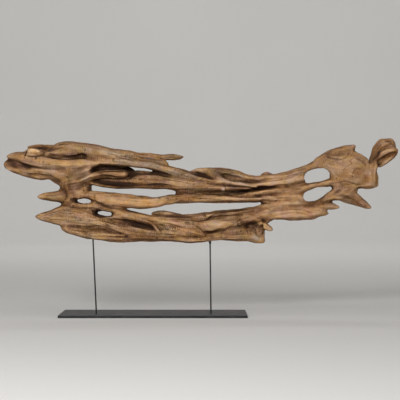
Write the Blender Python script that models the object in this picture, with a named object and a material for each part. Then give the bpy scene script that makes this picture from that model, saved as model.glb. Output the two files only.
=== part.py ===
"""A long driftwood sculpture that reads as a dragon fish, on two thin steel rods in a flat steel base.

The wood is one solid. It is drawn on a squared sheet: columns run to the right, rows run down, and depth is
negative towards the viewer. Each limb is a list of stations (column, row, half width, depth, half depth),
and every value is in squares of the sheet.
"""

import math
import random

import bmesh
import bpy
import numpy as np
from mathutils import Vector, noise
from mathutils.bvhtree import BVHTree
from mathutils.kdtree import KDTree

# Driving dimensions, in metres.
WOOD_LENGTH = 1.58
ROD_DIAMETER = 0.006
ROD_CLEAR_HEIGHT = 0.290
ROD_SOCKET_DEPTH = 0.022
ROD_FOOT_DEPTH = 0.007
FLARE_DIAMETER = 0.014
FLARE_HEIGHT = 0.012
BASE_LENGTH = 0.740
BASE_DEPTH = 0.240
BASE_THICKNESS = 0.010
BASE_EDGE_BEVEL = 0.0015
BASE_CORNER_RADIUS = 0.006
CLEARANCE = 0.0003

# The drawing sheet: the wood spans SHEET_SPAN squares, and the rods stand at these columns.
SHEET_SPAN = 395.0
SQUARE = WOOD_LENGTH / SHEET_SPAN
LEFT_ROD_COLUMN, RIGHT_ROD_COLUMN = 94.0, 210.1
UNDERSIDE_ROW = 240.0
BASE_COLUMN = 154.0
LEFT_ROD_LEAN, RIGHT_ROD_LEAN = math.radians(2.6), math.radians(0.7)
ROD_SHEET_DEPTH = -2.0

# The wood's thickness against the sheet's depths, and its bend in plan: head forward, tail back.
THICKNESS_SCALE = 1.3
BEND_REACH = 5.5
BEND_COLUMN = 200.0
BEND_LENGTH = 430.0

# How finely the wood is made.
VOXEL = 1.0 * SQUARE
SECTION_SIDES = 16
ROD_SIDES = 20
STEP = 2.0
SMOOTHING_PASSES = 3
SMOOTHING_ALLOWANCE = 0.3
WOOD_TRIANGLES = 9000

# Ridges that follow each limb, in squares.
RIDGE_LENGTH = 22.0
RIDGE_SPACING = 3.4
RIDGE_HEIGHT = 0.75
RIDGE_GUIDES = 6
RIDGE_SHIFT = 7.3

UPPER_JAW = {
    "crown": [
        (48, 153.2, 1.6, -2, 3), (54, 151.6, 4.4, -1, 6), (62, 150, 7, 0, 9), (72, 150, 8, 0, 10),
        (84, 150.8, 7.4, 0, 10), (96, 153.2, 7.8, 1, 10), (108, 155.9, 7.8, 1, 9),
        (120, 157.2, 7.2, 1, 8.5), (133, 158.4, 6.4, 1, 7), (145, 160.3, 4.6, 0, 5),
        (156, 162, 3, -1, 3.5), (163, 163.3, 2.4, -1, 2.6), (167.6, 163.9, 1, -1, 1.2),
    ],
    "crown_cheek": [
        (42, 154.4, 1.8, -1, 4), (52, 154.2, 2.8, -1, 6), (64, 154.4, 3.4, -1, 7), (78, 155.2, 3.6, 0, 7),
    ],
    "crown_spur": [
        (126, 154.6, 2.6, 2, 3), (140, 155.6, 2.6, 1, 3), (152, 156.2, 2.5, 0, 2.8),
        (162, 157, 2.1, 0, 2.6), (171, 157.2, 2.6, 0, 2.8), (179, 157.2, 2.1, 0, 2.2),
        (184.4, 156.6, 0.7, 0, 0.8),
    ],
    "brow": [
        (96, 160, 4.6, -1, 6), (110, 161, 5, -3, 6), (125, 161.8, 4.4, -4, 6), (138, 163.3, 4, -4, 6),
        (150, 165.4, 4, -4, 6), (162, 168.9, 3.7, -4, 6), (174, 172.5, 4.7, -3, 7),
        (186, 175.6, 4.6, -2, 7), (198, 178.5, 3.6, -3, 6), (212, 180.5, 2.6, -4, 5),
        (228, 181.8, 2.4, -6, 4), (240, 183.4, 2.2, -7, 3), (250, 186, 1.4, -7, 2),
        (257, 187.8, 0.5, -7, 0.8),
    ],
    "back_spur": [
        (27, 147.2, 0.7, 6, 1.2), (31, 146.4, 1.4, 7, 2.4), (38, 146.2, 1.8, 7, 3.5),
        (46, 146.8, 2.4, 7, 4), (55, 148.6, 3.6, 5, 5), (66, 151, 4, 3, 5),
    ],
    "spur_wall": [
        (30, 148.8, 1.2, 7, 2), (37, 149.4, 2, 7, 3), (46, 150, 2.4, 6.4, 3.4), (54, 151, 2.4, 5, 4),
    ],
    "crown_pod": [
        (47, 154.8, 1.4, -4, 4.6), (54, 153.8, 3, -5.4, 6), (62, 153.2, 3.9, -6.2, 6.4),
        (70, 153.6, 3.9, -6, 6.2), (77, 154.8, 2.6, -4.6, 5.4),
    ],
    "pale_knob": [
        (27.4, 153.2, 2.2, -4, 3), (31, 152.2, 3.2, -5, 4.5), (36.5, 152.2, 3.3, -5, 4.8),
        (41, 152.8, 2.4, -5, 4),
    ],
    "upper_lip": [
        (9.6, 156.6, 1.5, -3, 2.5), (12.4, 156.5, 3, -3, 4), (18, 156.6, 4.6, -4, 5.5),
        (26, 158.6, 6, -5, 6.5), (34, 161.4, 6, -6, 7), (44, 162.6, 5.6, -7, 7), (56, 163.6, 5.3, -7, 7),
        (70, 164.2, 5.3, -7, 7), (82, 164.2, 5.2, -6, 7), (92, 164, 4.4, -5, 6), (99, 163.4, 3, -4, 5),
    ],
}

LOWER_JAW = {
    "jaw": [
        (17, 160.8, 1.2, 3, 3), (10.4, 161, 1.8, 2, 4), (6.9, 163.2, 2.1, 0, 5), (7.4, 167, 2.3, -1, 5),
        (13, 169.5, 2.6, -2, 5), (22, 170.8, 2.8, -3, 5), (34, 171.6, 3.4, -4, 6),
        (46, 172.5, 3.8, -4, 6), (58, 174.4, 5, -3, 6), (68, 177, 6, -2, 6),
    ],
    "jaw_back_wall": [
        (8.4, 164.2, 3, -0.4, 4.8), (14, 164.8, 3.4, -1, 5.2), (22, 166, 3.2, -2, 5.6),
        (32, 167.8, 3, -2.6, 6.4), (44, 169.2, 3, -3, 7.4), (58, 170.8, 3.6, -3, 8.4),
    ],
    "neck_fan": [
        (34, 170, 2.4, -3.4, 6.6), (46, 171.4, 3.8, -3.4, 7.6), (56, 173.4, 5.4, -3, 8),
        (66, 175.6, 7, -2.6, 8.4), (76, 176, 7, -2.4, 8.6), (86, 172, 4.4, -2.6, 8),
        (93, 169, 2.4, -2.4, 6.6),
    ],
    "jaw_ledge": [
        (14, 171.6, 0.9, -2, 3), (24, 173.8, 2.1, -3, 4), (34, 176.4, 2.5, -3, 4),
        (42, 177.6, 2.6, -3, 4), (49, 177, 2.2, -2, 4), (56, 177.8, 2.6, -1, 4), (64, 180.4, 3.6, 0, 5),
    ],
    "jaw_splinter": [
        (51, 178.9, 1.1, 2, 1.8), (56, 181.9, 1.5, 2, 2.4), (60.5, 184, 1.7, 1, 3), (68, 186.4, 3, 1, 4),
    ],
}

SHOULDER = {
    "column": [
        (75, 168, 15, 1, 9), (75, 174, 15, 1, 9), (76, 184, 15, 1, 9), (77, 192, 15, 1, 9),
        (78, 200, 15.5, 1, 9), (80, 209, 16.5, 1, 9), (82, 218, 16, 0, 9), (84, 226, 14, 0, 8),
    ],
    "neck_front": [
        (75, 170, 13, -2.4, 9.4), (74, 178, 13.4, -2.2, 9.2), (74.6, 187, 13, -1.2, 8.8),
        (76, 197, 11, 0.4, 8.4),
    ],
    "upper_prong": [
        (38.8, 196.7, 0.7, -1, 0.8), (42.8, 196.6, 2.5, -1, 3), (50, 196.5, 4.1, -1, 4.5),
        (58, 196.2, 5.6, -1, 5.5), (66, 196, 8, -1, 6),
    ],
    "lower_prong": [
        (36.6, 216.2, 0.9, -2, 1.2), (40, 216.4, 2.8, -2, 3.5), (48, 216.8, 5.4, -2, 6),
        (57, 216.3, 8.3, -2, 7.5), (67, 215.3, 10.7, -2, 9), (80, 216, 10.7, -3, 10),
        (94, 219.5, 10, -3, 10), (106, 224, 7.6, -3, 10), (120, 228.6, 6.4, -3, 9),
        (136, 231.5, 5.5, -3, 8), (152, 233.2, 4.6, -3, 8), (168, 234, 4.8, -3, 8), (184, 234, 6, -2, 8),
    ],
    "belly": [
        (64.4, 227.5, 2.1, -4, 4), (69, 228.8, 3.4, -5, 6), (80, 231.1, 4.4, -6, 7),
        (94, 233.6, 4.8, -6, 7), (110, 235.3, 5, -6, 7), (125, 236.7, 4.8, -6, 7),
        (140, 237.2, 3.5, -6, 6), (158, 237.4, 3.1, -5, 6), (174, 237.9, 3.1, -5, 6),
        (190, 238.8, 3.7, -4, 6), (204, 237.9, 3.7, -4, 6), (220, 236.5, 3.5, -4, 6),
        (236, 236.6, 4, -3, 7), (248, 237, 4.4, -2, 7), (256, 238.4, 5, -2, 6), (260.4, 239.8, 4, -2, 5),
    ],
    "pore_bridge": [
        (104, 218.6, 2.6, -5, 5), (114, 216.6, 2.8, -6, 5), (124, 216.4, 2.4, -7, 5),
        (134, 218.2, 1.8, -8, 4),
    ],
}

MIDDLE_STRANDS = {
    "hook": [
        (78, 183.6, 2.2, -7, 3), (86, 179.6, 2.6, -8, 4), (95, 176, 2.8, -9, 4.5),
        (106, 174.4, 2.9, -9, 4.5), (116, 174.5, 3.1, -9, 5), (124.4, 174.8, 3.2, -9, 4.5),
        (127.4, 174.8, 2.4, -9, 3.5),
    ],
    "behind_hook": [
        (88, 181, 3, 0, 5), (98, 180.8, 4.6, 0, 5), (110, 181.2, 5.2, 0, 6), (124, 181.4, 5.8, -1, 6),
        (138, 180.7, 6.7, -3, 7), (152, 180.8, 6.9, -4, 8), (166, 182.4, 6.2, -4, 8),
        (180, 184.2, 6.4, -4, 8), (195, 185.4, 5.4, -4, 7), (212, 186.4, 4.4, -4, 7),
        (228, 187.3, 3.2, -4, 6), (242, 188, 2, -4, 4), (252, 188.6, 0.8, -4, 2),
    ],
    "under_brow": [
        (129, 173.8, 1.4, -1, 3), (137, 173.3, 2.1, -1.6, 4), (150, 174.3, 2.2, -2, 4.6),
        (162, 176.3, 2.4, -2.6, 5), (174, 178.8, 2.4, -3, 5), (184, 181, 2.4, -3, 5),
    ],
    "slot_ledge": [
        (92, 183.5, 0.9, -3, 3), (100, 185.4, 1.2, -4, 4), (114, 186.8, 1.3, -5, 4),
        (130, 187.2, 1.4, -6, 4), (148, 187.3, 1.4, -6, 4), (164, 187.3, 1.4, -6, 4),
        (176, 187.8, 1.6, -5, 4),
    ],
    "hollow_back": [
        (88, 169.2, 4, 5, 4), (98, 169.4, 4.2, 5, 4), (108, 169.2, 4, 5, 4), (120, 169.2, 3.8, 5, 4),
        (128, 171.4, 4.2, 5, 4), (133, 174.4, 4.2, 4, 4), (139, 178.6, 2.6, 2, 4),
    ],
    "spine": [
        (92, 197, 5.6, -4, 7), (102, 197.9, 6.4, -6, 7), (116, 200.1, 6.7, -7, 7),
        (128, 200.9, 6.2, -7, 7), (142, 202.5, 6.2, -7, 7), (154, 202.6, 5, -7, 6.5),
        (164, 200.9, 4.6, -7, 6), (176, 199.2, 4.4, -6, 6), (190, 198.2, 4.3, -5, 6),
        (204, 198, 4.3, -5, 6), (220, 198.4, 4, -5, 6), (236, 199.2, 3.3, -5, 6),
        (250, 199.3, 2.9, -5, 5), (260, 199.3, 2.4, -5, 4),
    ],
    "slot_end": [
        (178.6, 192.2, 2.8, -2, 4), (188, 192.2, 2.6, -2, 5), (198, 191.8, 2, -1, 5),
        (208, 191.6, 2, 0, 5),
    ],
    "crevice_floor": [
        (190, 190.6, 3, 1, 5), (208, 192, 3, 1.4, 5), (225, 192.6, 3, 2, 5), (240, 191.6, 3, 4, 4),
        (256, 189.6, 3, 4, 4), (270, 188, 2.8, 2, 4.4), (284, 187, 3.4, 1, 5.6),
    ],
    "splinter": [
        (151.8, 213.8, 0.7, 1, 1), (157, 213, 1.7, 1, 2.4), (164, 213.2, 2.2, 1, 3),
        (172, 214.4, 1.9, 0, 3), (182, 216, 1.6, -1, 3),
    ],
}

LOWER_STRANDS = {
    "flank": [
        (90, 206.4, 6, -2, 7), (102, 206.8, 4.6, -3, 7), (112, 208.8, 4, -4, 7), (122, 211.4, 3.6, -5, 7),
        (130, 213.6, 3.2, -5, 7), (140, 216, 3.2, -6, 7), (150, 218.6, 3.2, -6, 7),
        (162, 220.4, 3.6, -6, 7), (174, 221.6, 4.2, -6, 8), (188, 223.4, 5.6, -5, 8),
        (202, 225, 6.5, -5, 9), (218, 225, 6, -4, 9), (232, 223, 5, -3, 9), (246, 220, 5, -2, 8),
        (258, 216, 6, -2, 8), (272, 211, 7, -1, 8),
    ],
    "flank_ridge": [
        (118, 213, 1.8, -8, 4), (129, 216.4, 1.8, -8.5, 4), (140, 219.4, 1.7, -9, 4),
        (149, 222.4, 1.6, -9.5, 3.5), (155, 226, 1.6, -9.5, 3.5), (159, 230.6, 1.4, -9, 3.5),
    ],
    "flank_fold": [
        (156, 224.6, 3, -3, 5), (168, 227, 4, -4, 6), (182, 229, 4.6, -4, 7), (194, 231.6, 4.4, -4, 7),
        (204, 235, 3.4, -4, 7),
    ],
    "flank_floor": [
        (114, 218.6, 4, -1.6, 6), (128, 222.4, 5, -2.4, 6.4), (142, 225.6, 5, -2.6, 6.6),
        (156, 228, 5, -1.6, 6.6), (172, 230, 6, 0, 7), (188, 231.5, 7, -1, 8), (202, 231, 7, -1, 8),
        (216, 231, 6, -1, 8),
    ],
    "lower_rim": [
        (150, 217.6, 0.9, -2, 4), (160, 217.7, 1.4, -3, 5), (172, 217.4, 1.8, -3, 5),
        (186, 217.4, 2.6, -4, 6), (200, 216.5, 2.8, -4, 6), (212, 214.6, 2.6, -4, 6),
        (226, 212.7, 2.2, -4, 6), (240, 211.6, 2.5, -4, 6), (254, 210, 3.2, -3, 7),
        (268, 207.5, 5, -2, 7), (284, 204.5, 6, -1, 7), (298, 203.5, 5.5, 0, 7),
    ],
    "rim_floor": [
        (198, 219, 3, 0, 6), (212, 218, 3.4, 0, 6), (228, 216.6, 3.4, 0, 6), (244, 214, 3, 0, 6),
    ],
    "root_neck": [(252, 216.5, 6, -2, 6), (262, 217.6, 5.4, -1, 6), (268.6, 218.6, 4, -1, 5)],
    "root_lobe": [
        (226, 232, 6, -1, 7), (238, 231, 7, -1, 8), (250, 230, 8, -1, 8), (258, 231, 7, 0, 7),
        (261.5, 234, 3, 0, 5),
    ],
    "root_bump": [
        (240, 219, 3, -5, 4), (247, 218.3, 4, -6, 5), (254, 218.3, 3.6, -6, 5), (259, 219, 2.5, -5, 4),
    ],
    "root_stub": [
        (259, 222, 2, -5, 3), (264, 225.4, 2.5, -6, 3.2), (268.6, 228.2, 2.4, -6, 2.8),
        (271.6, 229.7, 1.4, -6, 1.8),
    ],
    "root_heel": [(248, 237.4, 3, -2, 5), (256, 239.6, 3.4, -2, 4), (261, 241.2, 2, -2, 3)],
    "root_edge": [(263.4, 229, 1.6, -2, 2.5), (262.8, 236, 1.4, -2, 2.5), (261.8, 242, 1.2, -2, 2)],
}

TAIL = {
    "hump": [
        (191.5, 171.5, 0.9, -1, 1.5), (198, 170.9, 2.2, -1, 3.5), (206, 171.4, 3.4, -1, 5.5),
        (216, 172, 4, -1, 6.5), (226, 172.5, 4, -1, 6.5), (236, 174, 3.4, -1, 6),
        (246, 177, 2.6, -1, 5.5), (256, 178.2, 2.2, -1, 5), (268, 177.8, 2.6, -1, 5),
        (281, 176.6, 3.3, -1, 6), (294, 173.6, 3.9, 0, 6.5), (307, 169.5, 4.4, 1, 6.5),
    ],
    "hump_foot": [
        (209, 172.6, 3, -3, 5), (214, 175.6, 3.2, -3, 6), (219, 179, 3.2, -3.5, 6),
        (225, 181.6, 2.6, -4, 5),
    ],
    "hump_floor": [
        (196, 174.4, 2.6, 2, 5), (214, 177.4, 3, 1, 6), (234, 179.4, 3, 1, 6), (250, 181.6, 2.6, 1, 5),
        (264, 182, 2.4, 0, 5),
    ],
    "upper_tendon": [
        (240, 183.6, 1.4, -3, 3), (252, 184.8, 2, -3, 4), (264, 183.6, 2.3, -3, 5),
        (278, 182.2, 3.4, -2, 6), (290, 180.6, 4.8, -0.6, 6.4), (299, 179, 5, 0.4, 5.4),
        (305, 177.4, 4, 1, 4.4),
    ],
    "eye_bridge": [
        (232, 194.7, 1.2, -1, 4), (244, 194.8, 1.9, -2, 5), (256, 193.6, 2.6, -2, 6),
        (268, 192, 3.2, -2, 6), (280, 191, 4, -1, 7), (294, 190.5, 5.6, 0, 6), (308, 187.2, 4, 0, 5.4),
        (320, 184.4, 2.6, 0, 5), (331, 182.4, 3.6, 0, 5), (344, 181, 6, 0, 6), (358, 180, 7, 0, 7),
    ],
    "eye_roof": [
        (298, 172.4, 3.6, 0, 6), (308, 169, 3.2, 0, 5.5), (318, 165.4, 5, 0, 5.5), (329, 165.6, 7, 0, 6),
    ],
    "eye_corner": [
        (329, 168, 5, 0, 6), (334.6, 175, 5, 0, 6), (336, 184, 4.6, 0, 6), (337, 191, 5, 0, 6),
    ],
    "tail_core": [
        (262, 198, 4, -2, 6), (272, 199, 6, -1, 7), (284, 198, 7, 0, 6.6), (295, 197, 7, 0.4, 5.6),
        (304, 199, 4.6, 1, 4.8),
    ],
    "eye_cheek": [
        (297, 180, 5.6, 1.4, 4.2), (297, 191, 5.6, 1.4, 4.2), (301, 201, 4, 1, 4.4),
        (312, 203, 2.8, 0, 5),
    ],
    "lower_fin": [
        (262, 213.8, 5.8, -2, 7), (276, 213.7, 6.1, -2, 7), (290, 213.8, 6.2, -2, 7),
        (302, 213.5, 6.4, -2, 6), (311, 213, 6.6, -2, 5), (318, 212.3, 5.6, -2, 4),
        (324.4, 212.8, 3.3, -2, 2.6), (329.4, 213.7, 0.9, -2, 1),
    ],
    "middle_fin": [
        (298, 204, 4, 0, 6), (308, 203.8, 3, 0, 5), (318, 204.6, 3.8, 0, 5), (326, 205.3, 4.1, 0, 4.5),
        (332, 206.2, 3.2, 0, 3.4), (336.4, 207, 1.8, 0, 2), (339.6, 207.7, 0.6, 0, 0.8),
    ],
    "lower_eyelid": [
        (314, 203.6, 2.6, 0, 4), (321, 202, 3, 0, 4.5), (327, 198.6, 4, 0, 5), (333, 195.8, 4.8, 0, 5),
        (341, 193.4, 7.4, 0, 6), (349, 188, 8, 0, 6), (355, 184, 6, 0, 6),
    ],
    "end_fin": [
        (341, 193, 7.3, 0, 5.4), (349.4, 196.5, 7.1, 0, 5), (357, 200.4, 5.7, 0, 4.4),
        (363.6, 203.9, 3.9, 0, 3.5), (368.2, 206.4, 2, 0, 2.2), (370.4, 207.4, 0.9, 0, 1.2),
    ],
    "tail_plate": [
        (320, 161, 5, 1, 4.5), (329, 161.6, 8, 0, 5), (338, 164, 14, 0, 6), (348, 168.8, 18.6, 0, 7),
        (358, 171.8, 17, 0, 7), (366, 175, 13.6, 0, 6.5), (370.5, 174.6, 13.4, 0, 5),
        (373.2, 173.6, 13, 0, 3.5),
    ],
    "plate_hem": [
        (350, 184, 4, 0, 6), (360, 184.8, 3.6, 0, 5.5), (368, 184.6, 3.6, 0, 5),
        (373.6, 183.6, 3, -1, 3.5),
    ],
    "tail_crest": [
        (304, 169.4, 2.8, 1, 5), (314, 165.2, 3.4, 1, 5), (324, 159.2, 5.1, 0.6, 5.2),
        (334, 154.8, 6, 0.2, 5.2), (344, 151.8, 5.6, 0.4, 4.7), (351, 149, 4.1, 1, 3.5),
        (355.2, 145.2, 1.1, 1, 1.4),
    ],
    "crest_fold": [
        (324, 154.6, 1.4, -1.6, 3), (332, 157, 1.8, -2.4, 3.4), (340, 157.4, 2.2, -2.8, 3.4),
        (346, 155, 2.2, -2.2, 3), (352, 150.8, 1.2, -1, 2),
    ],
    "tail_edge": [
        (375.4, 159.4, 0.9, -1, 1.5), (375.4, 164, 2.5, -1, 3), (374, 172, 2.3, -1, 4),
        (373.6, 180, 2.3, -1, 4), (374.6, 186.4, 1.3, -1, 2.5),
    ],
    "tail_knob": [
        (370.2, 165.4, 3, 5, 3), (374.9, 161.9, 5.6, 6, 5), (380.4, 156.4, 9.1, 7, 7.5),
        (386.6, 150.2, 11.6, 8, 8.5), (390.4, 145.4, 10.9, 8, 7.5), (392.2, 143.2, 8.1, 8, 5),
    ],
    "knob_fold": [
        (377, 158.4, 1.7, 1, 3), (384, 153.8, 2, 0.6, 3.2), (391, 150.6, 2, 0.8, 3.2),
        (397, 149.6, 1.9, 2, 2.8),
    ],
    "knob_rim": [
        (380, 165.8, 1.6, 3, 3), (387, 161.6, 2, 1.6, 3.4), (394, 156.6, 2, 2, 3.4),
        (397.6, 152, 1.5, 3, 3),
    ],
    "knob_floor": [(380, 162, 2.6, 3, 3.4), (387, 157.6, 3, 2.6, 3.6), (394, 153.4, 2.6, 3, 3.4)],
    "back_bump": [(261, 175, 0.9, 5, 1.5), (267, 173.6, 1.8, 5, 3), (274, 175.4, 1.2, 4, 2)],
}

# Plainer strands on the far side, as the photographed side suggests them.
FAR_SIDE = {
    "far_shoulder": [(62, 174, 4, 5, 4), (74, 184, 6, 5, 5), (82, 194, 5, 5, 5), (98, 199, 4, 1, 6)],
    "far_flank": [
        (70, 214, 6, 4, 5), (96, 222, 6, 5, 5), (124, 230, 5, 4, 5), (150, 234, 4, 3, 5),
        (180, 235, 4, 3, 5),
    ],
    "far_hump": [
        (176, 177, 3, 3, 4), (198, 182, 4, 4, 4), (222, 187, 3.4, 4, 4), (246, 186, 2, 4, 4),
        (270, 181, 2, 4, 4),
    ],
    "far_root": [(230, 224, 5, 5, 4), (250, 218, 6, 5, 5), (275, 210, 6, 5, 4), (300, 207, 4, 5, 3)],
}

# The eye-shaped openings in the tail, as outlines of (column, row) joined by a smooth closed curve.
EYES = {
    "upper_eye": [
        (304.8, 178.8), (306.6, 174.2), (311.4, 170.9), (318, 169.2), (325, 169.4), (329.2, 172),
        (330.4, 175.4), (328, 178.8), (322.5, 181.6), (315, 183.2), (309.4, 183.6), (306, 182),
    ],
    "lower_eye": [
        (303.6, 196.2), (306.4, 192), (311.2, 189.6), (318, 187.1), (326, 186.4), (332, 186.6),
        (332.8, 189.6), (327.5, 193.4), (322, 198), (316, 200.8), (309, 201.2), (304.8, 199.4),
    ],
}

# Oval pores through the shoulder: (column, row, half length, half height, tilt in degrees).
PORES = {"upper_pore": (84.6, 201.1, 8, 2.4, 2), "lower_pore": (105, 213.2, 7.8, 2.1, 5)}
PORE_FLARE = 1.4
EYE_FLARE = 1.0
EYE_RISE = {"upper_eye": 2.4, "lower_eye": 0.0}
HOLE_REACH, HOLE_RINGS, FLARE_REACH = 16.0, 9, 8.0
RISE_START, RISE_LENGTH = -6.0, 12.0

# Hollows that stay closed behind: (column, row, depth, half length, half height, half depth, tilt).
HOLLOWS = {
    "flank_hollow": (139, 225.2, -13.4, 16, 4.2, 6, 12),
    "crown_hollow": (83.4, 155.6, -10, 4, 2.6, 5, 4),
    "pore_porch": (75.5, 200.4, -10, 6, 2.8, 6, 4),
    "root_pit": (247.4, 226.4, -9.6, 4.4, 2.4, 3, -20),
    "root_pit_small": (260.6, 226.6, -8.4, 2.2, 1.8, 2.8, 30),
    "fold_pit": (213, 231.4, -9.4, 9, 1.8, 3.6, -4),
}


def place(column, row, depth=0.0):
    """A point of the drawing sheet as a point in metres, with the wood's slow bend from head to tail."""
    bend = BEND_REACH * math.sin(math.tau * (column - BEND_COLUMN) / BEND_LENGTH)
    return Vector((
        (column - BASE_COLUMN) * SQUARE,
        (depth * THICKNESS_SCALE + bend) * SQUARE,
        BASE_THICKNESS + ROD_CLEAR_HEIGHT + (UNDERSIDE_ROW - row) * SQUARE,
    ))


def smooth_path(stations, step=STEP):
    """The stations joined by a Catmull-Rom curve, about one point every step squares."""
    points = np.array(stations, float)
    padded = np.vstack([2 * points[0] - points[1], points, 2 * points[-1] - points[-2]])
    path = []
    for before, start, end, after in zip(padded, padded[1:], padded[2:], padded[3:]):
        count = max(2, round(float(np.linalg.norm((end - start)[:2])) / step))
        for t in np.arange(count) / count:
            path.append(0.5 * (
                2 * start + (end - before) * t + (2 * before - 5 * start + 4 * end - after) * t * t
                + (3 * start - before - 3 * end + after) * t ** 3
            ))
    path.append(points[-1])
    return np.array(path)


def add_loft(bm, rings):
    """A closed skin over rings of points in order, each ring fanned to its centre at both ends."""
    loops = [[bm.verts.new(point) for point in ring] for ring in rings]
    for first, second in zip(loops, loops[1:]):
        for i in range(len(first)):
            j = (i + 1) % len(first)
            bm.faces.new((first[i], first[j], second[j], second[i]))
    for loop, flip in ((loops[0], True), (loops[-1], False)):
        centre = bm.verts.new(sum((v.co for v in loop), Vector()) / len(loop))
        for i in range(len(loop)):
            pair = (loop[i], loop[(i + 1) % len(loop)])
            bm.faces.new((*(reversed(pair) if flip else pair), centre))


def limb_rings(stations, rng, waviness=0.05):
    """Elliptical rings along a limb, with a slow uneven flute and rounded ends."""
    path = smooth_path(stations)
    centres = np.column_stack([path[:, 0], path[:, 3], -path[:, 1]])
    tangents = np.gradient(centres, axis=0)
    tangents[:, 1] = 0
    tangents /= np.linalg.norm(tangents, axis=1)[:, None]
    lobes = rng.choice((3, 4))
    phase, twist = rng.uniform(0, math.tau), rng.uniform(-0.05, 0.05)
    # Rounded ends: extra rings past each end, so that a blunt end is a dome.
    domes = [(0.85, 0.5), (0.98, 0.17)]
    samples = [(centres[0], tangents[0], path[0], -reach, scale) for reach, scale in reversed(domes)]
    samples += [(c, t, p, 0.0, 1.0) for c, t, p in zip(centres, tangents, path)]
    samples += [(centres[-1], tangents[-1], path[-1], reach, scale) for reach, scale in domes]
    rings = []
    for number, (centre, tangent, (_, _, width, _, depth), reach, scale) in enumerate(samples):
        width, depth = width + SMOOTHING_ALLOWANCE, depth + SMOOTHING_ALLOWANCE
        across = np.array([-tangent[2], 0, tangent[0]])
        middle = centre + tangent * reach * min(width, depth)
        ring = []
        for side in range(SECTION_SIDES):
            angle = math.tau * side / SECTION_SIDES
            swell = scale * (1 + waviness * math.cos(lobes * angle + phase + twist * number * STEP))
            offset = across * width * math.cos(angle) + np.array([0, 1, 0]) * depth * math.sin(angle)
            column, y, up = middle + offset * swell
            ring.append(place(column, -up, y))
        rings.append(ring)
    return rings


def ellipsoid_rings(column, row, depth, half_length, half_height, half_depth, tilt):
    """Rings of a tilted ellipsoid, along its length."""
    turn = math.radians(tilt)
    along, across = (math.cos(turn), math.sin(turn)), (-math.sin(turn), math.cos(turn))
    rings = []
    for latitude in np.linspace(-0.97, 0.97, 11) * math.pi / 2:
        reach, girth = half_length * math.sin(latitude), math.cos(latitude)
        ring = []
        for side in range(SECTION_SIDES):
            angle = math.tau * side / SECTION_SIDES
            up, y = half_height * girth * math.cos(angle), half_depth * girth * math.sin(angle)
            ring.append(place(column + along[0] * reach + across[0] * up,
                              row + along[1] * reach + across[1] * up, depth + y))
        rings.append(ring)
    return rings


def oval_outline(column, row, half_length, half_height, tilt):
    """Points round a tilted ellipse."""
    turn = math.radians(tilt)
    outline = []
    for side in range(2 * SECTION_SIDES):
        angle = math.pi * side / SECTION_SIDES
        along, up = half_length * math.cos(angle), half_height * math.sin(angle)
        outline.append((column + along * math.cos(turn) - up * math.sin(turn),
                        row + along * math.sin(turn) + up * math.cos(turn)))
    return outline


def closed_outline(points, steps=4):
    """Points of a smooth closed curve through the given ones."""
    points = np.array(points, float)
    outline = []
    for i in range(len(points)):
        before, start, end, after = (points[(i + k) % len(points)] for k in (-1, 0, 1, 2))
        for t in np.arange(steps) / steps:
            outline.append(0.5 * (
                2 * start + (end - before) * t + (2 * before - 5 * start + 4 * end - after) * t * t
                + (3 * start - before - 3 * end + after) * t ** 3
            ))
    return outline


def hole_rings(outline, flare, rise=0.0):
    """The outline from front to back, narrow in the middle for rounded rims, and rising to the back."""
    outline = np.array(outline, float)
    centre = outline.mean(axis=0)
    reach = np.linalg.norm(outline - centre, axis=1).mean()
    rings = []
    for depth in np.linspace(-HOLE_REACH, HOLE_REACH, HOLE_RINGS):
        spread = 1 + flare * (depth / FLARE_REACH) ** 2 / reach
        lift = np.array([0, -rise * min(max((depth - RISE_START) / RISE_LENGTH, 0), 1)])
        rings.append([place(*(centre + (point - centre) * spread + lift), depth) for point in outline])
    return rings


def mesh_of(name, ring_sets):
    """One mesh of one or more closed lofts."""
    bm = bmesh.new()
    for rings in ring_sets:
        add_loft(bm, rings)
    bmesh.ops.recalc_face_normals(bm, faces=bm.faces)
    mesh = bpy.data.meshes.new(name)
    bm.to_mesh(mesh)
    bm.free()
    return mesh


def add_object(name, mesh, material=None):
    obj = bpy.data.objects.new(name, mesh)
    bpy.context.scene.collection.objects.link(obj)
    if material:
        mesh.materials.clear()
        mesh.materials.append(material)
    return obj


def hide_cutter(obj):
    obj.hide_render = True
    obj.display_type = "WIRE"
    return obj


def subtract(obj, cutter):
    cut = obj.modifiers.new("cut_" + cutter.name, "BOOLEAN")
    cut.operation = "DIFFERENCE"
    cut.solver = "EXACT"
    cut.object = cutter
    return cut


def limb_guides(groups):
    """Points along the middle of each limb: (place, distance along, half size, direction across, number)."""
    guides = []
    for number, stations in enumerate(stations for group in groups for stations in group.values()):
        path = smooth_path(stations)
        along = np.concatenate([[0], np.cumsum(np.linalg.norm(np.diff(path[:, [0, 1]], axis=0), axis=1))])
        slopes = np.gradient(path[:, [0, 1]], axis=0)
        slopes /= np.linalg.norm(slopes, axis=1)[:, None]
        for (column, row, width, depth, thickness), distance, slope in zip(path, along, slopes):
            across = Vector((-slope[1], 0, -slope[0]))
            guides.append((place(column, row, depth), distance, (width + thickness) / 2, across, number))
    return guides


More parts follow.
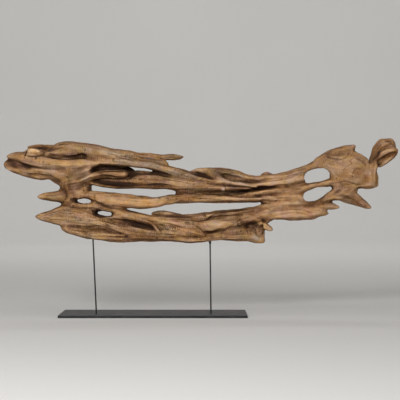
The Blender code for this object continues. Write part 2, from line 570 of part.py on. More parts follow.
def raise_ridges(mesh, groups):
    """Moves the skin in and out in long uneven ridges that run with the nearest limb."""
    guides = limb_guides(groups)
    tree = KDTree(len(guides))
    for index, guide in enumerate(guides):
        tree.insert(guide[0], index)
    tree.balance()
    normals = [vertex.normal.copy() for vertex in mesh.vertices]
    places = []
    for vertex, normal in zip(mesh.vertices, normals):
        swell, weights = 0.0, 0.0
        for centre, index, distance in tree.find_n(vertex.co, RIDGE_GUIDES):
            _, along, size, across, number = guides[index]
            offset = vertex.co - centre
            girth = math.atan2(offset.y, offset.dot(across)) * size
            sample = Vector((along / RIDGE_LENGTH, girth / RIDGE_SPACING, RIDGE_SHIFT * number))
            weight = 1 / (distance + SQUARE) ** 2
            swell += weight * (noise.noise(sample) + 0.5 * noise.noise(sample * 2.1))
            weights += weight
        places.append(vertex.co + normal * swell / weights * RIDGE_HEIGHT * SQUARE)
    mesh.vertices.foreach_set("co", np.array(places).ravel())
    mesh.update()


def evaluated_mesh(obj):
    """The object's mesh as its modifiers leave it."""
    bpy.context.view_layer.update()
    graph = bpy.context.evaluated_depsgraph_get()
    return bpy.data.meshes.new_from_object(obj.evaluated_get(graph), depsgraph=graph)


def keep_largest_body(mesh):
    """Drops every loose scrap and sealed bubble, and leaves the one large outer skin."""
    bm = bmesh.new()
    bm.from_mesh(mesh)
    unseen, bodies = set(bm.verts), []
    while unseen:
        front, body = [unseen.pop()], []
        while front:
            vert = front.pop()
            body.append(vert)
            for edge in vert.link_edges:
                other = edge.other_vert(vert)
                if other in unseen:
                    unseen.discard(other)
                    front.append(other)
        bodies.append(body)
    bodies.sort(key=len)
    for body in bodies[:-1]:
        bmesh.ops.delete(bm, geom=body, context="VERTS")
    bm.to_mesh(mesh)
    bm.free()


def voxel_remesh(obj, size):
    remesh = obj.modifiers.new("remesh", "REMESH")
    remesh.mode = "VOXEL"
    remesh.voxel_size = size
    remesh.use_smooth_shade = True


def make_driftwood(material):
    """The limbs made one body, then the holes and hollows cut, the whole rounded, and its faces thinned."""
    rng = random.Random(7)
    groups = (UPPER_JAW, LOWER_JAW, SHOULDER, MIDDLE_STRANDS, LOWER_STRANDS, TAIL, FAR_SIDE)
    rings = [limb_rings(stations, rng) for group in groups for stations in group.values()]
    wood = add_object("driftwood", mesh_of("driftwood", rings), material)
    voxel_remesh(wood, VOXEL)
    cutters = {
        name: hole_rings(closed_outline(points), EYE_FLARE, EYE_RISE[name]) for name, points in EYES.items()
    }
    cutters.update((name, hole_rings(oval_outline(*pore), PORE_FLARE)) for name, pore in PORES.items())
    cutters.update((name, ellipsoid_rings(*hollow)) for name, hollow in HOLLOWS.items())
    for name, cutter in cutters.items():
        mesh = mesh_of(name + "_cutter", [cutter])
        subtract(wood, hide_cutter(add_object(name + "_cutter", mesh)))
    voxel_remesh(wood, VOXEL)
    smooth = wood.modifiers.new("weathering", "SMOOTH")
    smooth.factor = 0.5
    smooth.iterations = SMOOTHING_PASSES
    whole = evaluated_mesh(wood)
    keep_largest_body(whole)
    wood.modifiers.clear()
    wood.data = whole
    raise_ridges(whole, groups)
    wood.data.materials.clear()
    wood.data.materials.append(material)
    soften = wood.modifiers.new("ridge_weathering", "SMOOTH")
    soften.factor = 0.5
    soften.iterations = 1
    thin = wood.modifiers.new("fewer_faces", "DECIMATE")
    thin.ratio = WOOD_TRIANGLES / (2 * len(whole.polygons))
    return wood


def lathe(name, profile, sides=ROD_SIDES):
    """A turned solid about its own Z, from (radius, height) pairs, bottom to top."""
    angles = [math.tau * i / sides for i in range(sides)]
    rings = []
    for radius, height in profile:
        rings.append([Vector((radius * math.cos(a), radius * math.sin(a), height)) for a in angles])
    return mesh_of(name, [rings])


def rod_axis(column, lean):
    """The place of a rod's foot on the base's top, and the direction that it rises in."""
    top = place(column, UNDERSIDE_ROW, ROD_SHEET_DEPTH)
    foot = top + ROD_CLEAR_HEIGHT * Vector((math.tan(lean), 0, -1))
    return foot, Vector((-math.sin(lean), 0, math.cos(lean)))


def stand_on_axis(obj, foot, direction):
    obj.location = foot
    obj.rotation_euler = (0, -math.asin(-direction.x), 0)


def lowest_skin(tree, foot, direction, radius):
    """How far up the axis the wood's skin first comes, on the axis and on a ring round it."""
    side = direction.cross(Vector((0, 1, 0)))
    starts = [foot]
    starts += [foot + side * radius * math.cos(a) + Vector((0, 1, 0)) * radius * math.sin(a)
               for a in np.linspace(0, math.tau, ROD_SIDES, endpoint=False)]
    reaches = [(tree.ray_cast(start, direction)[0] - start).dot(direction) for start in starts]
    return reaches[0], min(reaches)


def make_rods(wood, base, material):
    """Each rod stands in a blind hole in the base and ends in a blind socket in the wood."""
    skin = evaluated_mesh(wood)
    tree = BVHTree.FromPolygons([v.co for v in skin.vertices], [p.vertices for p in skin.polygons])
    radius = ROD_DIAMETER / 2
    for name, column, lean, flared in (
        ("left_rod", LEFT_ROD_COLUMN, LEFT_ROD_LEAN, False),
        ("right_rod", RIGHT_ROD_COLUMN, RIGHT_ROD_LEAN, True),
    ):
        foot, direction = rod_axis(column, lean)
        collar = FLARE_DIAMETER / 2
        skin_height, clear_height = lowest_skin(tree, foot, direction, collar if flared else radius)
        top = skin_height + ROD_SOCKET_DEPTH
        profile = [(radius, -ROD_FOOT_DEPTH)]
        if flared:
            rim = clear_height - CLEARANCE
            profile.append((radius, rim - FLARE_HEIGHT))
            profile.append((0.6 * radius + 0.4 * collar, rim - 0.35 * FLARE_HEIGHT))
            profile += [(collar, rim - 0.1 * FLARE_HEIGHT), (collar, rim), (radius, rim)]
        profile.append((radius, top - 0.3 * radius))
        profile.append((0.7 * radius, top))
        rod = add_object(name, lathe(name, profile), material)
        stand_on_axis(rod, foot, direction)
        bore = radius + CLEARANCE
        socket = [(bore, clear_height - 4 * CLEARANCE - FLARE_HEIGHT), (bore, top + CLEARANCE)]
        foot_hole = [(bore, -ROD_FOOT_DEPTH - CLEARANCE), (bore, BASE_THICKNESS)]
        for target, cut_profile in ((wood, socket), (base, foot_hole)):
            cutter = hide_cutter(add_object(f"{name}_{target.name}_cutter", lathe("bore", cut_profile)))
            stand_on_axis(cutter, foot, direction)
            subtract(target, cutter)


def make_base(material):
    """A flat plate with eased edges, its underside on the ground."""
    bm = bmesh.new()
    bmesh.ops.create_cube(bm, size=1)
    bmesh.ops.scale(bm, vec=(BASE_LENGTH, BASE_DEPTH, BASE_THICKNESS), verts=bm.verts)
    bmesh.ops.translate(bm, vec=(0, 0, BASE_THICKNESS / 2), verts=bm.verts)
    upright = [e for e in bm.edges if abs(e.verts[0].co.z - e.verts[1].co.z) > BASE_THICKNESS / 2]
    bmesh.ops.bevel(bm, geom=upright, offset=BASE_CORNER_RADIUS, segments=4, affect="EDGES", profile=0.5)
    rim = [e for e in bm.edges if min(v.co.z for v in e.verts) > BASE_THICKNESS - 1e-6]
    bmesh.ops.bevel(bm, geom=rim, offset=BASE_EDGE_BEVEL, segments=2, affect="EDGES", profile=0.5)
    mesh = bpy.data.meshes.new("stand_base")
    bm.to_mesh(mesh)
    bm.free()
    return add_object("stand_base", mesh, material)


def make_material(name, colour, roughness, metallic):
    material = bpy.data.materials.new(name)
    material.use_nodes = True
    shader = material.node_tree.nodes["Principled BSDF"]
    shader.inputs["Base Color"].default_value = (*colour, 1)
    shader.inputs["Roughness"].default_value = roughness
    shader.inputs["Metallic"].default_value = metallic
    return material


def clear_scene():
    for obj in list(bpy.data.objects):
        bpy.data.objects.remove(obj)


def main():
    clear_scene()
    wood_material = make_material("weathered_wood", (0.36, 0.22, 0.12), 0.6, 0)
    steel = make_material("dark_steel", (0.03, 0.03, 0.035), 0.45, 0.8)
    black = make_material("black_steel", (0.015, 0.015, 0.017), 0.5, 0.6)
    base = make_base(black)
    wood = make_driftwood(wood_material)
    make_rods(wood, base, steel)


main()
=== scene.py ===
"""The finished driftwood sculpture: weathered wood on steel rods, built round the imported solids.

The wood's own marks are placed by the photograph's pixels (column, row), as the camera sees them. All other
sizes come from the frame or are in metres.
"""

import math

import bpy
import numpy as np
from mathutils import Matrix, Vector
from mathutils.bvhtree import BVHTree
from mathutils.kdtree import KDTree


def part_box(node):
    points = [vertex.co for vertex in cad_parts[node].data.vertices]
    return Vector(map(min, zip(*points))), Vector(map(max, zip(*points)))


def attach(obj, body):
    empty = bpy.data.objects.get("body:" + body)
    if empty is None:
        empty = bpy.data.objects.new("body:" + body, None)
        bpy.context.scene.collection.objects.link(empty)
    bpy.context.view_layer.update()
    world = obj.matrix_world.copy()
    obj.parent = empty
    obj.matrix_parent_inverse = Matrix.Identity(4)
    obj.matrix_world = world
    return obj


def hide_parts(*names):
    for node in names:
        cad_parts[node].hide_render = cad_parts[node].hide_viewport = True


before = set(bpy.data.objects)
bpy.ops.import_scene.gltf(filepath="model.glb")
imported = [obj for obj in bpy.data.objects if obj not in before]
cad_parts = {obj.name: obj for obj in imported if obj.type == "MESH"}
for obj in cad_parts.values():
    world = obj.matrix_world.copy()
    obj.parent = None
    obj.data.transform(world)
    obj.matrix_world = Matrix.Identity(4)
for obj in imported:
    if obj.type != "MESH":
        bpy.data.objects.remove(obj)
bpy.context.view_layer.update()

# The photograph's frame: the wood spans these pixels, and one pixel is this long at the wood.
PHOTO_CENTRE = 200.0
WOOD_LEFT_COLUMN = 4.25
WOOD_RIGHT_COLUMN = 399.25
WOOD_TOP_ROW = 137.2
CAMERA_DISTANCE = 4.5
SENSOR_WIDTH = 36.0
WOOD_LOW, WOOD_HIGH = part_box("driftwood")
RODS = ("left_rod", "right_rod")
PIXEL = (WOOD_HIGH.x - WOOD_LOW.x) / (WOOD_RIGHT_COLUMN - WOOD_LEFT_COLUMN)
CAMERA = Vector((
    WOOD_LOW.x + (PHOTO_CENTRE - WOOD_LEFT_COLUMN) * PIXEL,
    -CAMERA_DISTANCE,
    WOOD_HIGH.z - (PHOTO_CENTRE - WOOD_TOP_ROW) * PIXEL,
))

# The studio's lamps: (power in watts, size, place, what it points at), in metres.
WOOD_MIDDLE = (WOOD_LOW + WOOD_HIGH) / 2
LIGHTS = {
    "key": (101, 1.2, (-0.9, -4.0, 2.3), WOOD_MIDDLE),
    "fill": (8, 2.4, (2.6, -3.2, 1.0), WOOD_MIDDLE),
    "top": (8, 1.6, (0.4, -0.6, 3.4), WOOD_MIDDLE),
    "wall": (340, 7.0, (0.0, 5.0, 7.5), (0.0, 12.0, 1.0)),
    "front_wall": (240, 7.0, (0.0, -5.0, 7.5), (0.0, -12.0, 1.0)),
}

# How finely the wood is carved, in metres and in passes over the mesh, and how its facets are rounded.
VOXEL = 0.0024
WOOD_TRIANGLES = 192000
FACET_PASSES = 26
FLOW_PASSES = 50
IRON_PASSES = 70
HOP = 3.0 * VOXEL
PUSH_IN = 0.62
PUSH_OUT = 0.65
SEED = 11

# The rods' sockets in the wood, in metres: how deep they are, what fills them while the wood is made into one
# fine mesh, and what bores them again.
SOCKET_DEPTH = 0.022
PLUG_RADIUS = 0.0055
BORE_RADIUS = 0.0033

# The relief's heights, in metres, and how far it is left flat round each rod.
BROAD_HEIGHT = 0.0010
MEDIUM_HEIGHT = 0.0007
FINE_HEIGHT = 0.00035
LUMP_HEIGHT = 0.0009
CRACK_DEPTH = 0.0018
CREASE_DEPTH = 0.0011
ROD_CLEARING = (0.009, 0.022)
EDGE_MARGIN = 0.004

# Noise drawn out along the grain: (passes that widen it, hops that lengthen it).
STREAKS = {
    "fine": (0, 12), "medium": (3, 40), "broad": (20, 60), "split": (1, 46), "patchy": (60, 10),
    "fold": (10, 70), "lumps": (34, 3),
}

# How squarely a point must face the camera to be marked at all, and to be marked in full.
FACING = (0.02, 0.3)

# Where an oval mark begins and where it is full, as shares of the oval's size from its middle.
PATCH_FADE = (1.25, 0.35)
SHADE_FADE = (1.35, 0.3)
WORN_FADE = (1.2, 0.7)
SWELL_FADE = (1.2, 0.6)

# A pit's depth, its raised rim's height, and the rim's middle and half width, as shares of the pit's radius.
PIT_SHAPE = (0.5, 0.18, 1.9, 0.5)
# A pit's darkness in its middle, partly painted shade in its hollow.
PIT_DARKNESS = 0.65

# Worm holes and knots scattered all over: their number, radius in metres, length for width, and darkness,
# which is painted shade in the holes and the knots' own colour.
KNOTS = 70
KNOT_RADIUS = (0.002, 0.0055)
KNOT_STRETCH = (1.2, 2.6)
KNOT_SHAPE = (0.35, 0.12, 1.8, 0.5)
KNOT_DARKNESS = (0.3, 0.85)

# Carved or raised lines on the photographed side, by region, in pixels: (half width, height, darkness, and
# the points that it runs through). A negative height is a groove.
# A line's darkness is partly the dark of a crack and partly a painted shadow in a groove or under a ledge.
LINES = {
    "lips": [
        (0.9, -0.8, 0.9, (43, 155.6), (54.5, 158.2), (63.6, 158.9), (77, 158.5), (85.5, 157)),
        (0.8, -0.5, 0.75, (9, 159.6), (15.5, 160.6), (22.7, 164), (32, 166.8), (43.6, 168.4), (54.5, 169.3),
         (66, 169.6)),
        (0.7, -0.3, 0.4, (24, 158.4), (28, 161), (38, 163.6), (51, 165.4), (66, 166.4), (82, 166.6)),
        (0.6, -0.3, 0.35, (10, 156.4), (16, 154.6), (25, 153.4)),
        (0.7, -0.4, 0.6, (10, 170), (18, 171.5), (30, 173.6), (43.6, 175), (51, 175.9), (56.4, 178.6),
         (62, 183)),
    ],
    "pale_knob": [
        (0.7, -0.8, 0.9, (27.4, 149.6), (26, 152.4), (25, 156), (24.6, 158)),
        (0.6, -0.6, 0.85, (30, 148), (36, 148.2), (43, 149.6), (50, 150.6)),
        (0.6, -0.5, 0.6, (43, 150.4), (44, 153), (43, 155.6)),
        (0.8, -0.9, 0.95, (25.6, 155.6), (31, 156.4), (38, 156.2), (44, 155.6)),
    ],
    "crown": [
        (0.6, -0.3, 0.4, (104, 151.2), (112, 153.8), (121, 157.6), (134, 161.2), (146, 162.6)),
        (0.6, -0.25, 0.35, (98, 158), (110, 160.4), (124, 162.4), (140, 165), (152, 168.4)),
        (0.8, -0.6, 0.75, (134, 154.6), (140, 157.2), (148, 158.2), (156, 159.8), (163, 160.8)),
        (0.5, -0.2, 0.3, (150, 155.2), (160, 156.4), (170, 157), (178, 156.8)),
    ],
    "hook": [
        (0.7, -0.4, 0.75, (96, 167.6), (106, 166.6), (116, 166.8), (126, 168.4)),
        (0.9, -0.6, 0.8, (92, 170.4), (98, 171), (108, 170.6), (118, 170.6), (126, 171.2), (130, 172.6)),
        (1.0, -0.8, 0.95, (129, 170.6), (131.4, 174), (131, 177.6), (127, 179.6)),
        (0.8, -0.6, 0.85, (92, 180.6), (98, 179), (108, 178), (118, 178.2), (127, 179)),
    ],
    "wedge": [
        (1.4, -1.2, 1.0, (127, 167.2), (134, 168), (143.6, 169.6), (154, 172), (164, 174.2), (170, 175.4)),
        (0.7, -0.35, 0.45, (139, 176.4), (157, 177.4), (171, 180), (181, 181.6), (193.6, 184.4),
         (204, 185.6)),
        (0.6, -0.25, 0.35, (132, 183.6), (146, 182.4), (160, 184), (176, 186.2), (190, 188)),
    ],
    "neck": [
        (0.5, -0.2, 0.4, (90, 168.4), (90.6, 171), (89.4, 173.6)),
        (0.5, -0.25, 0.4, (72, 187), (79, 186), (84, 184.4), (87, 181.4)),
        (0.5, -0.25, 0.4, (63, 182.6), (67, 181.6), (72, 180)),
        (0.9, 0.45, 0.0, (66, 183.2), (75, 181.4), (82, 179.6), (88, 177), (94, 174.8)),
        (0.6, -0.4, 0.55, (66, 185), (75, 183.6), (82, 181.8), (88, 179.4), (92, 176.8)),
        (0.6, -0.3, 0.45, (69, 190), (77, 189), (84.5, 186.2), (90, 182.6)),
    ],
    "column": [
        (0.6, -0.3, 0.45, (65.6, 190), (67, 195), (64.4, 200.6), (60, 205.6)),
        (0.5, -0.2, 0.35, (69, 193.6), (71, 198.4), (69.4, 203)),
        (0.7, -0.4, 0.55, (68, 206.6), (78, 207.6), (87, 208.4), (94, 207.8)),
    ],
    "prongs": [
        (0.6, -0.3, 0.45, (44, 196.4), (52, 195.6), (60, 194.4), (66, 194)),
        (0.7, -0.35, 0.45, (42, 217.6), (54.5, 219.6), (72.7, 220.6), (86.4, 221.4), (100, 220.6),
         (113, 223.6), (127, 228)),
        (0.6, -0.25, 0.3, (50, 212.6), (62, 211.4), (76, 211.6), (90, 214.4)),
    ],
    "belly": [
        (0.8, -0.5, 0.6, (63.6, 224.9), (77, 226.1), (89, 226.9), (100, 226.3), (109, 228.8), (121, 233),
         (132, 235.6)),
        (0.6, -0.25, 0.3, (66, 229.6), (80, 231), (96, 231.6), (112, 234), (124, 237.4)),
        (0.6, -0.3, 0.45, (158, 235.6), (172, 236), (184.5, 236.4), (203, 237), (222, 235.4)),
        (0.7, -0.35, 0.5, (118, 226.4), (130, 230.6), (143.6, 233.4), (157, 234), (171, 234.4), (184, 234.4)),
        (0.8, 0.5, 0.0, (132, 217.4), (142, 220), (150, 222), (155, 224.2), (157.6, 227.6), (159, 230.6)),
    ],
    "spine": [
        (0.8, -0.5, 0.5, (95.2, 194.6), (94.4, 198), (96.6, 202.4), (104, 204.2)),
        (0.8, -0.3, 0.5, (193, 196.6), (197.6, 196.2), (202, 196.2)),
        (0.6, -0.25, 0.35, (168, 200.6), (188, 197.6), (207, 198.4), (230, 200.6), (256, 199.4)),
        (0.6, -0.2, 0.3, (104, 196), (120, 199.4), (138, 201.6), (154, 202.4)),
    ],
    "flank": [
        (0.7, -0.4, 0.5, (96, 203.6), (109, 207.4), (120, 209.6), (128, 212.4)),
        (0.8, -0.6, 0.8, (176, 218.6), (186, 220.2), (198, 220.8), (208, 219.2), (212, 215.8), (218, 213.4),
         (230, 211.2), (248, 209.2), (262, 207)),
        (0.5, -0.25, 0.45, (213, 215.2), (218, 214.6), (221.6, 216), (218, 218.6), (212.6, 219.2)),
        (0.6, -0.3, 0.4, (222, 216.6), (234, 214.2), (248, 212.6), (262, 210.6)),
        (0.8, -0.6, 0.8, (153, 215.4), (166, 216), (181, 217), (194, 217)),
        (0.7, -0.4, 0.45, (186, 222.4), (195, 225.2), (201, 229.6), (206, 235)),
        (0.7, -0.35, 0.4, (204, 229.6), (213, 231), (221, 231.2), (229, 227.6), (235.5, 222), (240, 218.4)),
        (0.6, -0.25, 0.35, (164, 222.6), (174, 225), (184, 228.6), (192, 233)),
    ],
    "hump": [
        (1.1, -0.8, 0.9, (192, 171.8), (199, 173.8), (207, 176.4), (211, 178)),
        (1.0, -0.8, 0.95, (222.4, 175.4), (226, 178.4), (234, 180.4), (243, 181.4), (252, 182.4),
         (264, 181.6)),
        (0.6, -0.25, 0.3, (206, 169.8), (220, 170.6), (234, 173), (246, 176.6)),
    ],
    "brow_tail": [
        (0.6, -0.5, 0.6, (218, 185.6), (228, 186), (238, 186.8), (248, 187.6), (257, 188)),
        (1.0, 0.4, 0.0, (186, 176.4), (200, 179.2), (214, 180.6), (230, 182), (244, 184.6), (255, 187.2)),
        (0.7, -0.5, 0.65, (196, 183), (212, 183.6), (226, 184.6), (240, 186.6), (254, 188.4)),
        (0.6, -0.5, 0.9, (224.6, 183), (225.2, 186.6), (225.6, 190)),
        (0.4, -0.3, 0.6, (239.6, 186), (240, 189)),
    ],
    "long_crevice": [
        (0.6, -0.3, 0.55, (180, 191.6), (192, 193.6), (204, 194), (216, 193.8), (228, 194.4)),
        (1.0, -0.8, 1.0, (238, 191.6), (246, 190.8), (254, 189.6), (262, 188.4), (270, 187.4), (280, 186.8)),
    ],
    "root_fissures": [
        (0.6, -0.5, 0.7, (240, 218.6), (237.4, 222.4), (238.6, 226), (242.4, 228)),
        (0.6, -0.5, 0.65, (241, 222.4), (246, 223.8), (252, 223.6), (258, 221.6)),
        (0.5, -0.4, 0.4, (251, 225), (254.6, 229), (256.4, 233.4), (258.6, 238)),
        (0.5, -0.4, 0.5, (263.6, 221.6), (262.2, 224.6), (263, 228), (265, 230.6)),
        (0.4, -0.3, 0.35, (244, 229), (247.4, 232.6), (248.4, 237)),
        (0.6, -0.4, 0.45, (241, 219), (240.4, 222.6), (245, 225.4), (252, 224.6), (258, 222.6)),
        (0.5, -0.3, 0.35, (248, 229), (254, 232), (258, 236), (258.6, 240)),
        (0.5, -0.3, 0.6, (264, 223), (262.4, 226), (264.6, 229)),
    ],
    "root_lumps": [
        (1.6, 0.7, 0.0, (243.6, 216.8), (247, 215.6), (251, 216.4)),
        (1.6, 0.7, 0.0, (254, 218.4), (257.6, 219.6), (260, 221)),
        (1.5, 0.6, 0.0, (252, 229.6), (253.6, 233.6), (255, 237)),
    ],
    "tail_neck": [
        (0.6, -0.35, 0.5, (254, 182.8), (266, 181.6), (276, 180.4), (287, 178.4), (298, 175)),
        (0.5, -0.25, 0.35, (262, 178.6), (276, 178.4), (290, 175.6), (304, 171.6)),
        (0.6, -0.25, 0.35, (262, 193), (276, 190.6), (290, 190), (301, 188.4)),
        (0.6, -0.25, 0.35, (258, 201.8), (268, 199.6), (282, 198), (298, 197.6)),
        (0.5, -0.35, 0.6, (262, 199.6), (270, 201), (280, 200.6)),
    ],
    "fins": [
        (0.9, 0.4, 0.0, (262, 210.4), (274, 208.4), (287, 207.4), (301, 207.4), (311, 210), (318, 213)),
        (0.7, -0.4, 0.5, (264, 213.4), (276, 210.6), (290, 209.6), (303, 210), (312, 213.6)),
        (0.6, -0.3, 0.4, (268, 217.4), (280, 214.4), (292, 212.6), (303, 213.4), (312, 217)),
        (0.6, -0.3, 0.45, (333, 194.6), (341, 195.4), (350, 198.4), (359, 203)),
    ],
    "plate": [
        (0.7, -0.5, 0.4, (324, 154.6), (328, 157.2), (334, 158.8), (340.6, 159.5), (346.4, 156.8),
         (350.6, 151)),
        (0.7, -0.5, 0.36, (332, 183.6), (339, 182.2), (346, 181.4), (352, 183), (359, 184.4), (366, 185)),
        (0.75, -0.45, 0.26, (343.6, 170), (346.4, 166.6), (351.6, 163.6), (350.4, 160.4), (355, 157.8)),
        (0.75, -0.4, 0.24, (355, 157.8), (359.6, 159.6), (363, 161.8), (366.4, 165)),
        (0.7, -0.4, 0.22, (352, 177), (353.4, 172), (357, 168.4), (362, 168.4)),
    ],
    "end_knob": [
        (0.6, -0.4, 0.6, (366.6, 163.4), (370.6, 160.6), (374.6, 158)),
        (0.8, -0.5, 0.6, (377.6, 152.4), (381, 148.6), (386, 146.2), (391, 145.6)),
        (1.0, 0.6, 0.0, (376, 157), (382, 152.6), (389, 149.6), (396, 149.6)),
        (0.8, -0.4, 0.55, (379.6, 160), (384, 156.6), (390, 153), (396, 152.4)),
        (0.9, -0.5, 0.6, (376.6, 163.6), (379.4, 165), (382, 164.4)),
    ],
}

# The colours that tints multiply the wood's own by.
TINTS = {
    "purple": (0.60, 0.57, 0.75), "grey": (0.76, 0.89, 1.04), "tan": (0.86, 0.72, 0.56),
    "honey": (1.02, 0.97, 0.78), "rose": (1.02, 0.94, 0.91), "pale": (1.25, 1.34, 1.5),
    "white": (1.3, 1.6, 2.1),
}

# The wood's colour from darkest (0) to palest (1), what stains multiply it by, and dirt in cracks and painted
# shade in recesses.
WOOD_TONES = [
    (0.0, (0.045, 0.019, 0.007)), (1.0, (0.67, 0.43, 0.245)), (0.22, (0.13, 0.058, 0.022)),
    (0.42, (0.25, 0.127, 0.055)), (0.62, (0.40, 0.222, 0.105)), (0.80, (0.54, 0.322, 0.165)),
]
STAIN = (0.80, 0.92, 0.86, 1)
COOL = (0.97, 1.0, 1.20, 1)
WARM = (1.03, 0.99, 0.80, 1)
BLUSH = (0.86, 0.78, 0.98, 1)
GRIME_AND_SHADE = (0.030, 0.014, 0.007, 1)

# In the tables below, an oval on the photographed side is its column, row, half length and half height, in
# pixels, and its tilt in degrees.

# Stained or sunken patches, by region: (oval, depth, darkness, tint, tint's strength). Their darkness is
# partly painted shade in hollows and recesses, partly darker wood.
PATCHES = {
    "mouth": [
        (17, 164.4, 13, 3.6, 17, 0.2, 0.1, "purple", 0.95),
        (27.4, 166.4, 6, 1.9, 15, 0.3, 0.7, "purple", 0.6),
        (36, 167.2, 9, 1.8, 14, 0.0, 0.15, "purple", 0.6),
    ],
    "pale_knob": [(34.6, 151.8, 8.4, 3.9, 3, -0.9, 0.0, "pale", 1.0)],
    "crown": [
        (70, 154.4, 16, 3.4, 6, 0.3, 0.12, "purple", 0.65),
        (84.4, 155.4, 3.4, 2.4, 0, 0.6, 0.8, "purple", 0.5),
        (93.4, 152.4, 4.6, 3, 10, 0.0, 0.12, "grey", 0.4), (119, 153.6, 6, 3.4, 12, 0.0, 0.06, "grey", 0.75),
        (128.5, 156.6, 5, 2.4, 12, 0.0, 0.1, "grey", 0.7), (44, 148.6, 11, 2.4, 4, 0.2, 0.2, "purple", 0.8),
        (82.4, 156.2, 1.8, 1.2, 0, -0.5, 0.0, "pale", 1.0),
    ],
    "hook": [
        (108, 183, 18, 3, 3, 0.4, 0.3, "purple", 1.0), (110, 168.6, 20, 2.6, 0, 0.2, 0.45, "purple", 0.7),
        (127, 169, 6, 3, 10, 0.2, 0.8, "purple", 0.4), (110.4, 181.4, 1.3, 0.8, 0, -0.2, 0.0, "pale", 1.0),
        (137, 171.6, 6, 2.6, 20, 0.2, 0.35, "grey", 0.6), (150, 175.4, 16, 2, 6, 0.0, 0.05, "grey", 0.6),
    ],
    "shoulder": [
        (78, 186.6, 10, 5.4, -14, 0.0, 0.1, "purple", 0.5),
        (74.6, 199.8, 4, 2.4, 0, 0.4, 0.45, "purple", 0.7), (108, 217, 8, 1.6, 4, 0.0, 0.12, "grey", 0.5),
    ],
    "belly": [
        (99, 226.4, 4, 1.8, 5, 0.2, 0.3, "purple", 0.4), (107.4, 226, 3.6, 2.2, 5, 0.3, 0.35, "purple", 0.3),
        (126.6, 235.6, 3.2, 1.8, 0, 0.5, 0.75, "purple", 0.3),
        (112, 231.6, 15, 2.4, 12, 0.1, 0.15, "purple", 0.4),
    ],
    "flank": [
        (114, 206, 12, 2.6, 18, 0.0, 0.05, "purple", 0.35), (139, 225.4, 15, 4, 12, 0.7, 0.5, "purple", 0.6),
        (128, 220.6, 8, 2.4, 22, 0.4, 0.55, "purple", 0.4), (216, 216.8, 5, 2, -10, 0.0, 0.1, "grey", 0.5),
        (182, 229, 14, 4, 14, 0.1, 0.06, "tan", 0.7), (211, 231.4, 7, 1.8, -4, 0.0, 0.12, "tan", 1.0),
    ],
    "hump": [
        (203, 174.8, 8, 2, 18, 0.5, 0.55, "purple", 0.4), (224, 173, 24, 4.4, 5, 0.0, 0.04, "grey", 1.0),
        (222, 176.6, 3.4, 3.6, 0, 0.0, 0.12, "grey", 0.7),
    ],
    "crevice": [
        (232.5, 187, 7, 3.2, 6, 0.1, 0.12, "purple", 0.85),
        (223.2, 189.6, 2.6, 1.7, 0, -0.5, 0.0, "white", 1.0),
        (205, 190.6, 20, 2.2, 2, 0.1, 0.15, "grey", 0.6),
    ],
    "root": [
        (246.6, 226.6, 4, 2.2, -20, 0.2, 0.3, "tan", 0.7),
        (255, 223, 2.4, 1.6, 30, 0.2, 0.35, "purple", 0.4), (242, 221.8, 3, 1.8, 0, 0.2, 0.3, "grey", 0.5),
        # The pale specks are partly painted highlights on the root's lumps.
        (251, 226, 1.7, 1.3, 0, -0.3, 0.0, "pale", 0.55), (257, 229.8, 1.8, 1.5, 20, -0.3, 0.0, "pale", 0.5),
    ],
    "tail": [
        (358, 171.6, 5, 4.4, -10, 0.1, 0.0, "tan", 0.8), (367.4, 178.6, 4, 4.4, 0, 0.15, 0.04, "tan", 1.0),
        (312, 182.4, 9, 2.2, -6, 0.0, 0.55, "grey", 0.6), (346, 199, 9, 2.6, 28, 0.0, 0.05, "grey", 0.6),
    ],
    "end_knob": [
        (380, 164, 2.6, 1.8, -30, 0.2, 0.4, "grey", 0.4), (387, 155.6, 8, 2.4, -32, 0.1, 0.08, "tan", 1.0),
        (384, 146.4, 8, 2.4, -20, 0.1, 0.06, "tan", 1.0), (389, 141.6, 3.6, 1.6, 10, 0.2, 0.15, "tan", 0.9),
    ],
}

